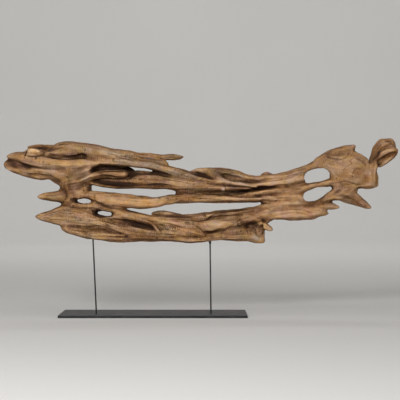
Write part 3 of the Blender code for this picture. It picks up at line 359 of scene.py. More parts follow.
# Places that are only tinted, by their tint: (oval, strength).
TINTED_PLACES = {
    "grey": [
        (152, 160.6, 12, 2.6, 12, 0.8), (84, 172.4, 14, 3.4, -4, 0.3), (233, 192.6, 16, 2, -3, 1.0),
        (164, 213.4, 10, 1.6, 4, 0.3), (254, 227, 6, 4, 0, 0.8), (291, 183, 9, 4, -8, 0.45),
        (338, 154.6, 9, 3, -14, 0.35), (237, 226, 5, 5, -20, 0.5), (257, 237.4, 5, 4.4, 10, 0.9),
        (134, 162.6, 26, 4, 7, 0.75), (112, 154, 16, 4, 10, 0.65), (70, 220, 26, 4, 6, 0.3),
        (78, 174, 14, 6, 0, 0.65), (52, 196.6, 12, 4, 0, 0.45), (84, 150, 22, 5, 4, 0.35),
        (180, 174, 22, 5, 12, 0.9), (150, 165, 16, 4, 12, 0.75), (387, 161, 7, 2, -38, 0.3),
        (172, 158, 12, 3.4, 2, 0.7),
    ],
    "tan": [
        (346, 176, 5, 2.4, 10, 0.4), (394, 156, 3, 5, 20, 0.6), (182, 199, 16, 2.4, -3, 0.7),
        (70, 193, 8, 5, 0, 0.6), (249, 225, 12, 7, 0, 0.5),
    ],
    "honey": [
        (350, 184.4, 15, 2, 4, 1.0), (64, 163, 34, 3.6, 3, 0.9), (18, 155.6, 11, 4, 4, 0.9),
        (118, 199.6, 26, 5, 6, 1.0), (146, 202.6, 22, 5, 0, 1.0), (206, 198.6, 34, 3, 0, 0.9),
        (196, 236, 40, 3, 0, 0.9), (284, 197, 22, 5, -8, 0.5),
    ],
    "rose": [
        (294, 212, 32, 9, -4, 0.9), (282, 192, 28, 14, -12, 0.7), (256, 211, 16, 7, -10, 0.9),
        (186, 226, 26, 8, 8, 0.8), (156, 204, 48, 6, 1, 0.7),
    ],
    # Some pale places, on the root's lumps and stub, are partly painted highlights.
    "pale": [
        (266.4, 226.6, 4, 2.2, 40, 0.45), (222, 219.6, 13, 4, -14, 0.25), (268, 203.6, 8, 2, -10, 0.3),
        (246.6, 219.2, 4.4, 1.6, 6, 0.45), (243.6, 232.4, 3, 1.6, 0, 0.5), (237.4, 226.6, 2.6, 2, -30, 0.5),
    ],
    "purple": [(56.6, 181, 5, 1.6, 30, 0.9)],
}

# Places that are worn smooth: (oval, how smooth).
SMOOTH_PLACES = {
    "lip": (50, 161.6, 52, 7, 4, 0.8),
    "mouth": (18, 164.6, 18, 6, 16, 1.0),
    "knob_and_crown": (76, 151, 44, 7, 4, 0.55),
    "neck": (72, 176, 22, 12, 0, 0.75),
    "shoulder": (76, 196, 18, 12, 0, 0.5),
    "upper_prong": (52, 196.6, 16, 6, 0, 0.7),
    "spine": (130, 201, 46, 8, 2, 0.7),
    "hook": (110, 174.4, 22, 4, 0, 0.7),
    "flank_lobe": (222, 223, 22, 8, -16, 0.7),
    "neck_of_tail": (288, 188, 24, 16, -10, 0.6),
    "tail": (345, 175, 46, 44, 0, 0.85),
    "knob": (388, 150, 22, 22, 0, 0.85),
    "fins": (310, 210, 60, 12, 0, 0.75),
    "root": (247, 227, 16, 9, 0, 0.6),
}

# Places whose swells are ironed out before the grain is carved: (oval, how much).
IRONED_PLACES = {
    "plate": (347, 172, 17, 12, 10, 1.0),
    "below_plate": (340, 187, 10, 5, 0, 0.8),
    "crest": (338, 155.6, 14, 5.4, -16, 1.0),
    "neck": (74, 174, 12, 5, 0, 0.6),
}

# Places that stand out a little more all round: (oval, how far in pixels).
SWELLS = {
    "spur": (173, 158.2, 12, 4.4, 0, 1.1),
    "stub": (267.4, 226.6, 6.4, 4.4, 40, 0.7),
    "end_fin_tip": (366, 205, 7, 4, 34, 0.6),
}

# Painted light and shade, with some paler and darker wood, by region: (oval, how much paler). A negative
# amount is darker.
SHADES = {
    "mouth": [(13, 164, 9, 4, 16, -0.1), (26.4, 165.8, 6.4, 2.2, 15, -0.5), (9, 164, 6, 5, 0, -0.26)],
    "lips": [
        (62, 164.6, 36, 3.6, 3, 0.24), (52, 168.4, 17, 1.8, 4, 0.26), (40, 175.6, 24, 2.4, 10, 0.1),
        (34.6, 152, 8, 3.6, 3, 0.2),
    ],
    "crown": [
        (42, 147, 15, 2.6, 4, -0.3), (72, 149, 20, 4, 4, 0.08), (112, 153.4, 17, 4.6, 12, 0.26),
        (62, 152.4, 9, 2.6, 4, 0.14), (160, 156, 24, 2, 2, -0.14),
    ],
    "brow": [
        (116, 163, 34, 3.4, 6, 0.22), (140, 167, 24, 2.4, 12, 0.2), (110, 165.6, 22, 2.6, 5, 0.26),
        (152, 174.6, 18, 2.4, 5, -0.3), (182, 184, 17, 4, 8, 0.2), (234, 182.4, 20, 2.6, 8, 0.38),
    ],
    "hook": [
        (108, 170.4, 20, 3, -3, -0.12), (110, 175, 16, 2.4, 0, -0.22), (132, 173.4, 5, 4.6, 0, -0.7),
        (112, 184, 23, 4.4, 2, -0.42), (142, 185, 26, 3.6, 4, -0.32), (107, 185.8, 15, 1.9, 3, -0.34),
        (142, 179.4, 25, 3.4, 5, -0.24),
    ],
    "neck": [
        (56, 173, 11, 5, 10, 0.13), (84, 184, 6, 7, -20, 0.16), (74, 176, 12, 5, 0, -0.06),
        (88.6, 177, 4.2, 11, 0, 0.3),
    ],
    "pores": [
        (67, 190, 8, 8, 0, -0.38), (84, 197.6, 11, 2, 2, -0.18), (80, 207.4, 15, 2, 4, -0.14),
        (102, 217, 14, 2.2, 5, -0.3),
    ],
    "spine": [
        (142, 202.6, 30, 4.6, 1, 0.34), (112, 200, 17, 4, 6, 0.16), (190, 199, 24, 2.8, -2, -0.1),
        (226, 198.4, 28, 2.2, 3, 0.16),
    ],
    "belly": [
        (76, 222, 28, 4.8, 4, 0.36), (146, 237.4, 28, 2.6, 1, -0.36), (86, 229.4, 22, 3.6, 12, -0.25),
        (116, 233.4, 14, 3, 12, -0.26), (92, 228.6, 30, 3.2, 8, 0.2), (196, 236.6, 40, 2.4, 0, -0.22),
    ],
    "hollow": [(124, 223.6, 8, 2.6, 25, -0.25), (151, 226, 6, 3, 30, -0.3), (140, 224.4, 16, 5, 14, -0.24)],
    "flank": [
        (106, 205.4, 14, 2.6, 14, -0.2), (170, 224, 16, 3.4, 14, 0.38), (222, 219, 19, 5, -16, 0.34),
        (214, 227, 15, 3, -10, 0.2), (182, 231, 21, 7, 8, 0.26), (176, 227, 14, 3, 16, 0.12),
        (182, 216.8, 13, 2, 2, -0.3), (238, 211, 30, 2, -5, -0.34), (163, 212.8, 11, 2, 3, 0.3),
        (215, 232.6, 12, 2, 0, 0.25), (224, 230.4, 10, 2.4, -20, 0.2),
    ],
    "root": [
        (241, 221.6, 3, 3, 0, -0.15), (248, 225, 11, 7, 0, -0.4), (256, 229, 7, 5, 0, -0.06),
        (248, 226.6, 6, 3.4, -20, 0.2), (267, 226.4, 4.4, 2.6, 40, 0.08), (258, 236.4, 6, 4.4, 0, 0.36),
    ],
    "hump": [
        (222, 171.8, 24, 4, 6, -0.3), (214, 178, 5, 4.6, 20, -0.16), (240, 175.6, 13, 2, 12, 0.22),
        (236, 178, 14, 2, 12, 0.14),
    ],
    "crevice": [
        (222, 192.4, 28, 2.4, -2, 0.22), (272, 190, 14, 3, -8, 0.2), (223.2, 189.6, 2.4, 1.7, 0, 0.6),
    ],
    "tail_neck": [
        (280, 181.4, 28, 5.4, -14, 0.46), (285, 200, 19, 7, -10, 0.18), (266, 194, 10, 3, -14, -0.14),
        (300, 196, 8, 9, 0, 0.08),
    ],
    "eyelids": [(313, 203.4, 12, 3.4, -6, -0.32), (322, 198.6, 4, 3, -40, -0.25)],
    "fins": [(292, 213, 32, 6, -2, 0.28), (356, 200, 14, 5, 26, -0.22)],
    "plate": [
        (342, 168, 17, 13, 10, 0.12), (370, 170, 4, 12, 0, 0.16), (346, 158, 14, 6, 14, 0.14),
        (369, 181, 5, 5, 0, 0.2), (357.4, 171.6, 5, 4.6, 0, -0.14), (367, 179, 4, 4.4, 0, -0.16),
        (338, 154, 16, 6, -10, -0.24),
    ],
    "end_knob": [
        (376.4, 157, 3, 8, 18, -0.35), (395.6, 154, 3, 6, 20, -0.25), (388, 149, 8, 8, 0, 0.14),
        (386, 151, 12, 12, 0, -0.16), (382.6, 150, 7, 1.8, -30, -0.3), (387, 151.6, 9, 1.6, -22, 0.22),
        (382, 142.4, 4.4, 2.4, -30, 0.14), (387, 161, 7, 1.8, -38, 0.16),
    ],
}

# Small round marks on the photographed side: (column, row, radius), in pixels.
PITS = [
    (36, 158.2, 1.3), (43, 162.4, 1.0), (126.6, 235.6, 1.3), (120, 233.4, 1.0), (247, 226, 1.4),
    (262, 226, 1.5), (168, 198.6, 0.8), (189, 199, 0.8), (197, 227.6, 0.9), (336.4, 178.4, 0.8),
    (352.4, 176.6, 0.7), (276, 201, 0.9), (234, 187.4, 0.9), (119, 199, 0.8), (73, 205.6, 0.9),
    (84, 190.6, 0.9), (244, 226.6, 0.8), (249, 224.4, 0.9), (253, 228, 0.8), (247, 231, 0.7),
    (256, 226.2, 0.8), (259.4, 231.4, 0.8), (250.4, 234, 0.7), (241, 231, 0.7), (238.6, 223.6, 0.7),
    (386, 141.8, 0.8), (390.6, 143.6, 0.9), (380.4, 144.6, 0.7), (384, 157.6, 0.8), (389.4, 156, 0.7),
    (352, 201.4, 0.7), (345, 198.6, 0.7), (358, 204, 0.6),
]


def pixel_of(points):
    """The photograph's (column, row) of points in space."""
    scale = CAMERA_DISTANCE / (points[:, 1] - CAMERA.y) / PIXEL
    return PHOTO_CENTRE + (points[:, 0] - CAMERA.x) * scale, PHOTO_CENTRE - (points[:, 2] - CAMERA.z) * scale


def smooth_step(values, low, high):
    t = np.clip((values - low) / (high - low), 0, 1)
    return t * t * (3 - 2 * t)


def smooth_line(points, step=0.5):
    """Places along the Catmull-Rom curve through the points, about one each step, with shares from 0 to 1."""
    points = np.array(points, float)
    padded = np.vstack([2 * points[0] - points[1], points, 2 * points[-1] - points[-2]])
    places = []
    for before, start, end, after in zip(padded, padded[1:], padded[2:], padded[3:]):
        count = max(2, round(float(np.linalg.norm(end - start)) / step))
        for t in np.arange(count) / count:
            places.append(0.5 * (
                2 * start + (end - before) * t + (2 * before - 5 * start + 4 * end - after) * t * t
                + (3 * start - before - 3 * end + after) * t ** 3
            ))
    places.append(points[-1])
    return np.array(places), np.linspace(0, 1, len(places))


class Skin:
    """A mesh's points, normals and neighbours as arrays, for fields that run over its surface."""

    def __init__(self, obj):
        self.obj = obj
        self.mesh = obj.data
        count = len(self.mesh.vertices)
        edges = np.empty(len(self.mesh.edges) * 2, np.int32)
        self.mesh.edges.foreach_get("vertices", edges)
        ends = np.concatenate([edges.reshape(-1, 2), edges.reshape(-1, 2)[:, ::-1]])
        ends = ends[np.argsort(ends[:, 0], kind="stable")]
        self.others = ends[:, 1]
        self.starts = np.searchsorted(ends[:, 0], np.arange(count))
        self.share = 1 / (1 + np.bincount(ends[:, 0], minlength=count))
        self.points = self.read(self.mesh.vertices, "co")
        self.normals = self.read(self.mesh.vertex_normals, "vector")

    @staticmethod
    def read(collection, name):
        values = np.empty(len(collection) * 3, np.float32)
        collection.foreach_get(name, values)
        return values.reshape(-1, 3).astype(float)

    def keep_inside(self, low, high):
        """Eases the points that stand out of the box back into it."""
        points = self.points
        for side, limit in ((1, high), (-1, low)):
            over = side * points - (side * np.array(limit) - EDGE_MARGIN)
            eased = EDGE_MARGIN * (1 - np.exp(-np.maximum(over, 0) / EDGE_MARGIN))
            points = points - side * np.where(over > 0, over - eased, 0)
        self.write(points)

    def write(self, points):
        self.mesh.vertices.foreach_set("co", points.astype(np.float32).ravel())
        self.mesh.update()
        self.points = points
        self.normals = self.read(self.mesh.vertex_normals, "vector")

    def spread(self, values, passes):
        """Each value averaged with its neighbours', a number of times."""
        share = self.share if values.ndim == 1 else self.share[:, None]
        for _ in range(passes):
            values = (values + np.add.reduceat(values[self.others], self.starts, axis=0)) * share
        return values

    def round_facets(self, passes):
        """Smooths without shrinking, by a push in and a slightly larger push out."""
        points = self.points
        for _ in range(passes):
            points = points + PUSH_IN * (self.spread(points, 1) - points)
            points = points - PUSH_OUT * (self.spread(points, 1) - points)
        self.write(points)


def outer(vectors):
    return np.einsum("ni,nj->nij", vectors, vectors).reshape(-1, 9)


def along_surface(vectors, normals):
    vectors = vectors - normals * (vectors * normals).sum(1)[:, None]
    return vectors / (np.linalg.norm(vectors, axis=1)[:, None] + 1e-9)


def grain_direction(skin):
    """The direction that the fibres run in: where the surface bends least, made even over the whole."""
    bends = skin.spread(outer(skin.normals), FLOW_PASSES).reshape(-1, 3, 3)
    sizes, axes = np.linalg.eigh(bends)
    direction = along_surface(axes[:, :, 0], skin.normals)
    sureness = (sizes[:, 1] - sizes[:, 0])[:, None]
    lengthwise = along_surface(np.tile([1.0, 0.0, 0.0], (len(direction), 1)), skin.normals)
    votes = skin.spread(sureness * outer(direction) + 0.02 * outer(lengthwise), FLOW_PASSES // 2)
    return along_surface(np.linalg.eigh(votes.reshape(-1, 3, 3))[1][:, :, 2], skin.normals)


def hop_targets(skin, direction):
    """For each point, the nearest points one hop ahead and one hop behind along the grain."""
    tree = KDTree(len(skin.points))
    for index, point in enumerate(skin.points):
        tree.insert(point, index)
    tree.balance()
    ahead = np.array([tree.find(p)[1] for p in skin.points + HOP * direction])
    behind = np.array([tree.find(p)[1] for p in skin.points - HOP * direction])
    return ahead, behind, tree


def streaks(skin, rng, targets, width_passes, hops):
    """Even noise drawn out along the grain, with a mean of 0 and a spread of 1."""
    ahead, behind = targets
    values = skin.spread(rng.standard_normal(len(skin.points)), width_passes)
    for _ in range(hops):
        values = 0.5 * values + 0.25 * (values[ahead] + values[behind])
    return (values - values.mean()) / values.std()


def seen_by_camera(skin, lift=0.002):
    """How squarely each point faces the camera, and 0 where something stands in the way."""
    tree = BVHTree.FromObject(skin.obj, bpy.context.evaluated_depsgraph_get())
    sight = np.array(CAMERA) - skin.points
    sight /= np.linalg.norm(sight, axis=1)[:, None]
    facing = (sight * skin.normals).sum(1)
    seen = np.zeros(len(facing))
    for index in np.flatnonzero(facing > FACING[0]):
        start = Vector(skin.points[index] + lift * skin.normals[index])
        if tree.ray_cast(start, Vector(sight[index]))[0] is None:
            seen[index] = facing[index]
    return smooth_step(seen, *FACING)


def entries(table):
    """All the entries of a table that lists them by region."""
    return [entry for group in table.values() for entry in group]


def draw_lines(places, seen, reach=3, tip=0.02, gain=1.15):
    """The height and darkness that LINES give to each point, in pixels. Each line thins out to its tips."""
    columns, rows = places
    height = np.zeros(len(columns))
    dark = np.zeros(len(columns))
    for width, rise, darkness, *points in entries(LINES):
        line, shares = smooth_line(points)
        low, high = line.min(0) - reach * width, line.max(0) + reach * width
        near = (seen > 0) & (columns > low[0]) & (columns < high[0]) & (rows > low[1]) & (rows < high[1])
        near = np.flatnonzero(near)
        gaps = np.hypot(columns[near][:, None] - line[:, 0], rows[near][:, None] - line[:, 1])
        nearest = gaps.argmin(1)
        taper = np.sqrt(np.sin(np.pi * np.clip(shares[nearest], tip, 1 - tip)))
        gap = gaps[np.arange(len(near)), nearest] / width
        strength = taper * np.exp(-gap ** 2) * seen[near]
        height[near] += rise * strength
        dark[near] = np.maximum(dark[near], darkness * np.clip(gain * strength, 0, 1))
    return height, dark


def inside_oval(places, oval, fade, unevenness=0.0):
    """How far each place is inside a tilted oval, from 0 outside to 1, with an edge that fades."""
    columns, rows = places
    column, row, length, tall, tilt = oval
    turn = math.radians(tilt)
    along = (columns - column) * math.cos(turn) + (rows - row) * math.sin(turn)
    across = (rows - row) * math.cos(turn) - (columns - column) * math.sin(turn)
    reach = np.hypot(along / length, across / tall) + unevenness
    return smooth_step(-reach, -fade[0], -fade[1])


def draw_patches(places, seen, unevenness):
    """The height, darkness and tints that PATCHES and TINTED_PLACES give to each point."""
    height = np.zeros(len(seen))
    dark = np.zeros(len(seen))
    tints = {name: np.zeros(len(seen)) for name in TINTS}
    for *oval, depth, darkness, tint, strength in entries(PATCHES):
        inside = inside_oval(places, oval, PATCH_FADE, unevenness) * seen
        height -= depth * inside
        dark = np.maximum(dark, darkness * inside)
        tints[tint] = np.maximum(tints[tint], strength * inside)
    for tint, ovals in TINTED_PLACES.items():
        for *oval, strength in ovals:
            inside = inside_oval(places, oval, PATCH_FADE, unevenness) * seen
            tints[tint] = np.maximum(tints[tint], strength * inside)
    return height, dark, tints


def worn_places(table, places):
    """How worn each point is by a table's places, from 0 to 1."""
    worn = np.zeros(len(places[0]))
    for *oval, amount in table.values():
        worn = np.maximum(worn, amount * inside_oval(places, oval, WORN_FADE))
    return worn


def draw_swells(places):
    """How far out SWELLS moves each point, in pixels."""
    return sum(amount * inside_oval(places, oval, SWELL_FADE) for *oval, amount in SWELLS.values())


def draw_shades(places, seen, unevenness):
    """How much paler or darker SHADES makes each point: painted light and shade, with some paler and darker
    wood.
    """
    shade = np.zeros(len(seen))
    for *oval, amount in entries(SHADES):
        shade += amount * seen * inside_oval(places, oval, SHADE_FADE, unevenness)
    return shade


def pit_relief(gap, depth, rim_height, rim_place, rim_width):
    """A pit's height at each gap from its middle: a round hollow with a raised rim."""
    return rim_height * np.exp(-((gap - rim_place) / rim_width) ** 2) - depth * np.exp(-gap ** 2)


def draw_pits(places, seen):
    """The height and darkness that PITS give to each point, in pixels."""
    columns, rows = places
    height = np.zeros(len(columns))
    dark = np.zeros(len(columns))
    for column, row, radius in PITS:
        gap = np.hypot(columns - column, rows - row) / radius
        height += radius * pit_relief(gap, *PIT_SHAPE) * seen
        dark = np.maximum(dark, PIT_DARKNESS * np.exp(-gap ** 2) * seen)
    return height, dark


def scatter_knots(skin, direction, rng, tree):
    """Small worm holes and knots, longer along the grain: their height in metres and their darkness."""
    height = np.zeros(len(skin.points))
    dark = np.zeros(len(skin.points))
    for index in rng.integers(0, len(skin.points), KNOTS):
        radius = rng.uniform(*KNOT_RADIUS)
        longer = rng.uniform(*KNOT_STRETCH)
        centre, axis = skin.points[index], direction[index]
        found = np.array([hit[1] for hit in tree.find_range(centre, 3 * radius * longer)])
        offset = skin.points[found] - centre
        along = offset @ axis
        across = np.sqrt(np.maximum((offset ** 2).sum(1) - along ** 2, 0))
        gap = np.hypot(along / longer, across) / radius
        height[found] += radius * pit_relief(gap, *KNOT_SHAPE)
        dark[found] = np.maximum(dark[found], rng.uniform(*KNOT_DARKNESS) * np.exp(-gap ** 2))
    return height, dark


def add_attribute(mesh, name, values):
    kind = "FLOAT" if values.ndim == 1 else "FLOAT_VECTOR"
    attribute = mesh.attributes.new(name, kind, "POINT")
    attribute.data.foreach_set("value" if values.ndim == 1 else "vector", values.astype(np.float32).ravel())


def new_object(name, data):
    obj = bpy.data.objects.new(name, data)
    bpy.context.scene.collection.objects.link(obj)
    return obj


def mesh_object(name, points, faces):
    mesh = bpy.data.meshes.new(name)
    mesh.from_pydata(points, [], faces)
    return new_object(name, mesh)


def modified_copy(obj, name):
    """A new object with the mesh as obj's modifiers leave it. The old object is removed."""
    bpy.context.view_layer.update()
    graph = bpy.context.evaluated_depsgraph_get()
    final = obj.evaluated_get(graph)
    mesh = bpy.data.meshes.new_from_object(final, preserve_all_data_layers=True, depsgraph=graph)
    bpy.data.objects.remove(obj)
    return new_object(name, mesh)


def node_points(node):
    """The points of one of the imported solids."""
    return Skin.read(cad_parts[node].data.vertices, "co")


def rod_line(rod):
    """The middle of a rod's foot and the direction that the rod rises in."""
    points = node_points(rod)
    heights = points[:, 2]
    foot, top = (points[abs(heights - level) < 0.001].mean(0) for level in (heights.min(), heights.max()))
    return foot, (top - foot) / np.linalg.norm(top - foot)


def socket_cylinder(rod, radius, start, end, sides=24):
    """Points and faces of a cylinder on a rod's axis, between two distances past the rod's top."""
    foot, up = rod_line(rod)
    top = foot + up * (node_points(rod) - foot).dot(up).max()
    right = np.cross(up, (0.0, 1.0, 0.0))
    ahead = np.cross(up, right)
    angles = np.linspace(0, math.tau, sides, endpoint=False)[:, None]
    ring = radius * (np.cos(angles) * right + np.sin(angles) * ahead)
    walls = [(i, (i + 1) % sides, (i + 1) % sides + sides, i + sides) for i in range(sides)]
    ends = [tuple(reversed(range(sides))), tuple(range(sides, 2 * sides))]
    return np.vstack([top + start * up + ring, top + end * up + ring]), walls + ends


def fine_wood():
    """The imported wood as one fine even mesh, with its sockets filled."""
    points = node_points("driftwood")
    faces = [tuple(face.vertices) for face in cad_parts["driftwood"].data.polygons]
    for rod in RODS:
        plug_points, plug_faces = socket_cylinder(rod, PLUG_RADIUS, 0.001 - SOCKET_DEPTH, 0.002)
        faces += [tuple(len(points) + i for i in face) for face in plug_faces]
        points = np.vstack([points, plug_points])
    weld = mesh_object("driftwood_fine", points.tolist(), faces)
    merge = weld.modifiers.new("merge", "WELD")
    merge.merge_threshold = 0.00001
    remesh = weld.modifiers.new("remesh", "REMESH")
    remesh.mode = "VOXEL"
    remesh.voxel_size = VOXEL
    return modified_copy(weld, "driftwood_fine")


def cut_sockets(obj):
    """Bores the blind holes that the rods' tops stand in."""
    for rod in RODS:
        points, faces = socket_cylinder(rod, BORE_RADIUS, -2 * SOCKET_DEPTH, 0.0005)
        bore = mesh_object("bore", points.tolist(), faces)
        cut = obj.modifiers.new("socket", "BOOLEAN")
        cut.operation = "DIFFERENCE"
        cut.object = bore
        obj = modified_copy(obj, "driftwood_carved")
        bpy.data.objects.remove(bore)
    return obj


def carve(obj):
    """Carves the grain, cracks, folds and pits into the fine wood, and stores the fields that colour it and
    paint light and shade on it.
    """
    rng = np.random.default_rng(SEED)
    skin = Skin(obj)
    skin.round_facets(FACET_PASSES)
    ironed = skin.spread(worn_places(IRONED_PLACES, pixel_of(skin.points)), FACET_PASSES)[:, None]
    skin.write(skin.points + ironed * (skin.spread(skin.points, IRON_PASSES) - skin.points))
    direction = grain_direction(skin)
    ahead, behind, tree = hop_targets(skin, direction)
    fine, medium, broad, split, patchy, fold, lumps = (
        streaks(skin, rng, (ahead, behind), *passes) for passes in STREAKS.values()
    )
    seen = seen_by_camera(skin)
    places = pixel_of(skin.points)
    rough = 1 - worn_places(SMOOTH_PLACES, places)
    cracks = np.exp(-(split / 0.3) ** 2) * smooth_step(patchy, 0.3, 1.3) * rough
    creases = np.exp(-(fold / 0.17) ** 2) * smooth_step(-patchy, -0.3, 1.0) * rough
    unevenness = 0.6 * medium + 0.6 * broad
    line_height, line_dark = draw_lines(places, seen)
    patch_height, patch_dark, tints = draw_patches(places, seen, 0.16 * unevenness)
    pit_height, pit_dark = draw_pits(places, seen)
    knot_height, knot_dark = scatter_knots(skin, direction, rng, tree)
    drawn = PIXEL * (line_height + skin.spread(patch_height, 2) + pit_height + draw_swells(places))
    height = drawn + knot_height - CRACK_DEPTH * cracks - CREASE_DEPTH * creases
    height += rough * (BROAD_HEIGHT * broad + MEDIUM_HEIGHT * np.tanh(medium)) + FINE_HEIGHT * fine
    height += LUMP_HEIGHT * (1.6 - rough) * lumps
    for rod in RODS:
        foot, up = rod_line(rod)
        gap = np.linalg.norm(np.cross(skin.points - foot, up), axis=1)
        height *= smooth_step(gap, *ROD_CLEARING)
    normals = skin.spread(skin.normals, 4)
    normals /= np.linalg.norm(normals, axis=1)[:, None]
    skin.write(skin.points + normals * height[:, None])
    skin.write(skin.spread(skin.points, 1) * 0.3 + skin.points * 0.7)
    skin.keep_inside(WOOD_LOW, WOOD_HIGH)
    # How concave each point is; the material darkens concave places, as painted shade.
    hollow = sum(((skin.spread(skin.points, n) - skin.points) * skin.normals).sum(1) for n in (2, 8, 24))
    # Darkness of lines, patches, pits and knots: partly cracks, knots and stains, partly painted shade in
    # grooves and recesses.
    dark = np.maximum.reduce([line_dark, patch_dark, pit_dark, 0.9 * knot_dark])
    fields = {
        "hollow": hollow / hollow.std(),
        "streaks": np.column_stack([fine, rough * medium, rough * broad + (1 - rough) * lumps]),
        "splits": np.column_stack([split, fold, patchy]),
        "rough": rough,
        # Painted light and shade by place, from SHADES.
        "shade": draw_shades(places, seen, 0.12 * unevenness),
        # How far the surface turns from the front; the material darkens it, as painted shade on the sides.
        "edge": (1 - np.abs(skin.spread(skin.normals, 2)[:, 1])) ** 2,
        "dark": np.clip(dark, 0, 1),
        "upright": np.abs(direction[:, 2]),
        **{"tint_" + name: values for name, values in tints.items()},
    }
    for name, values in fields.items():
        add_attribute(obj.data, name, values)
    thin = obj.modifiers.new("fewer_faces", "DECIMATE")
    thin.ratio = WOOD_TRIANGLES / (2 * len(obj.data.polygons))
    return modified_copy(obj, "driftwood_carved")


def shade_recesses(obj, rays=14, reach=0.07, lift=0.0015):
    """Stores how much of the open air each point is shut off from, 0 in the open and 1 deep inside, which the
    wood's material paints as shade in recesses.
    """
    skin = Skin(obj)
    tree = BVHTree.FromObject(obj, bpy.context.evaluated_depsgraph_get())
    turns = np.arange(rays) * math.pi * (3 - math.sqrt(5))
    rise = np.sqrt(1 - (np.arange(rays) + 0.5) / rays)
    flat = np.sqrt(1 - rise ** 2)
    side = along_surface(np.tile([0.31, 0.17, 0.93], (len(skin.points), 1)), skin.normals)
    other = np.cross(skin.normals, side)
    starts = [Vector(point) for point in skin.points + lift * skin.normals]
    shut = np.zeros(len(starts))
    for turn, up, out in zip(turns, rise, flat):
        rays_out = skin.normals * up + out * (side * math.cos(turn) + other * math.sin(turn))
        for index, (start, ray) in enumerate(zip(starts, rays_out.tolist())):
            distance = tree.ray_cast(start, ray, reach)[3]
            if distance is not None:
                shut[index] += 1 - distance / reach
    add_attribute(obj.data, "shut", skin.spread(shut / rays, 2))


class Shader:
    """A short way to write a node material: each call adds a node and returns the output asked for."""

    def __init__(self, name):
        self.material = bpy.data.materials.new(name)
        self.material.use_nodes = True
        self.tree = self.material.node_tree
        self.surface = self.tree.nodes["Principled BSDF"]

    def add(self, kind, inputs=(), output=0, **settings):
        node = self.tree.nodes.new("ShaderNode" + kind)
        for name, value in settings.items():
            setattr(node, name, value)
        for key, value in dict(inputs).items():
            self.give(node.inputs[key], value)
        return node.outputs[output]

    def give(self, socket, value):
        if isinstance(value, bpy.types.NodeSocket):
            self.tree.links.new(value, socket)
        else:
            socket.default_value = value

    def set(self, **inputs):
        for name, value in inputs.items():
            self.give(self.surface.inputs[name.replace("_", " ")], value)

    def field(self, name, output="Fac"):
        return self.add("Attribute", attribute_name=name, output=output)

    def math(self, operation, first, second=0.0):
        return self.add("Math", {0: first, 1: second}, operation=operation)

    def blend(self, share, first, second, kind="MIX"):
        """A colour from the first to the second by the share."""
        return self.add("MixRGB", {"Fac": share, "Color1": first, "Color2": second}, blend_type=kind)

    def sum(self, value, *terms):
        """The value with each (term, amount) added to it."""
        for term, amount in terms:
            product = self.math("MULTIPLY", term, amount)
            value = self.math("ADD", value, product)
        return value

    def middle(self, value):
        """The value counted from the middle of a noise's range."""
        return self.math("SUBTRACT", value, 0.5)

    def noise(self, scale, detail=3.0, stretch=(1, 1, 1)):
        where = self.add("TexCoord", output="Object")
        spot = self.add("Mapping", {"Vector": where, "Scale": stretch})
        return self.add("TexNoise", {"Vector": spot, "Scale": scale, "Detail": detail})

    def ramp(self, share, stops):
        output = self.add("ValToRGB", {"Fac": share})
        elements = output.node.color_ramp.elements
        for number, (place, colour) in enumerate(stops):
            element = elements[number] if number < 2 else elements.new(place)
            element.position = place
            element.color = (*colour, 1)
        return output

    def range(self, value, low, high, new_low=0.0, new_high=1.0):
        return self.add("MapRange", {0: value, 1: low, 2: high, 3: new_low, 4: new_high})


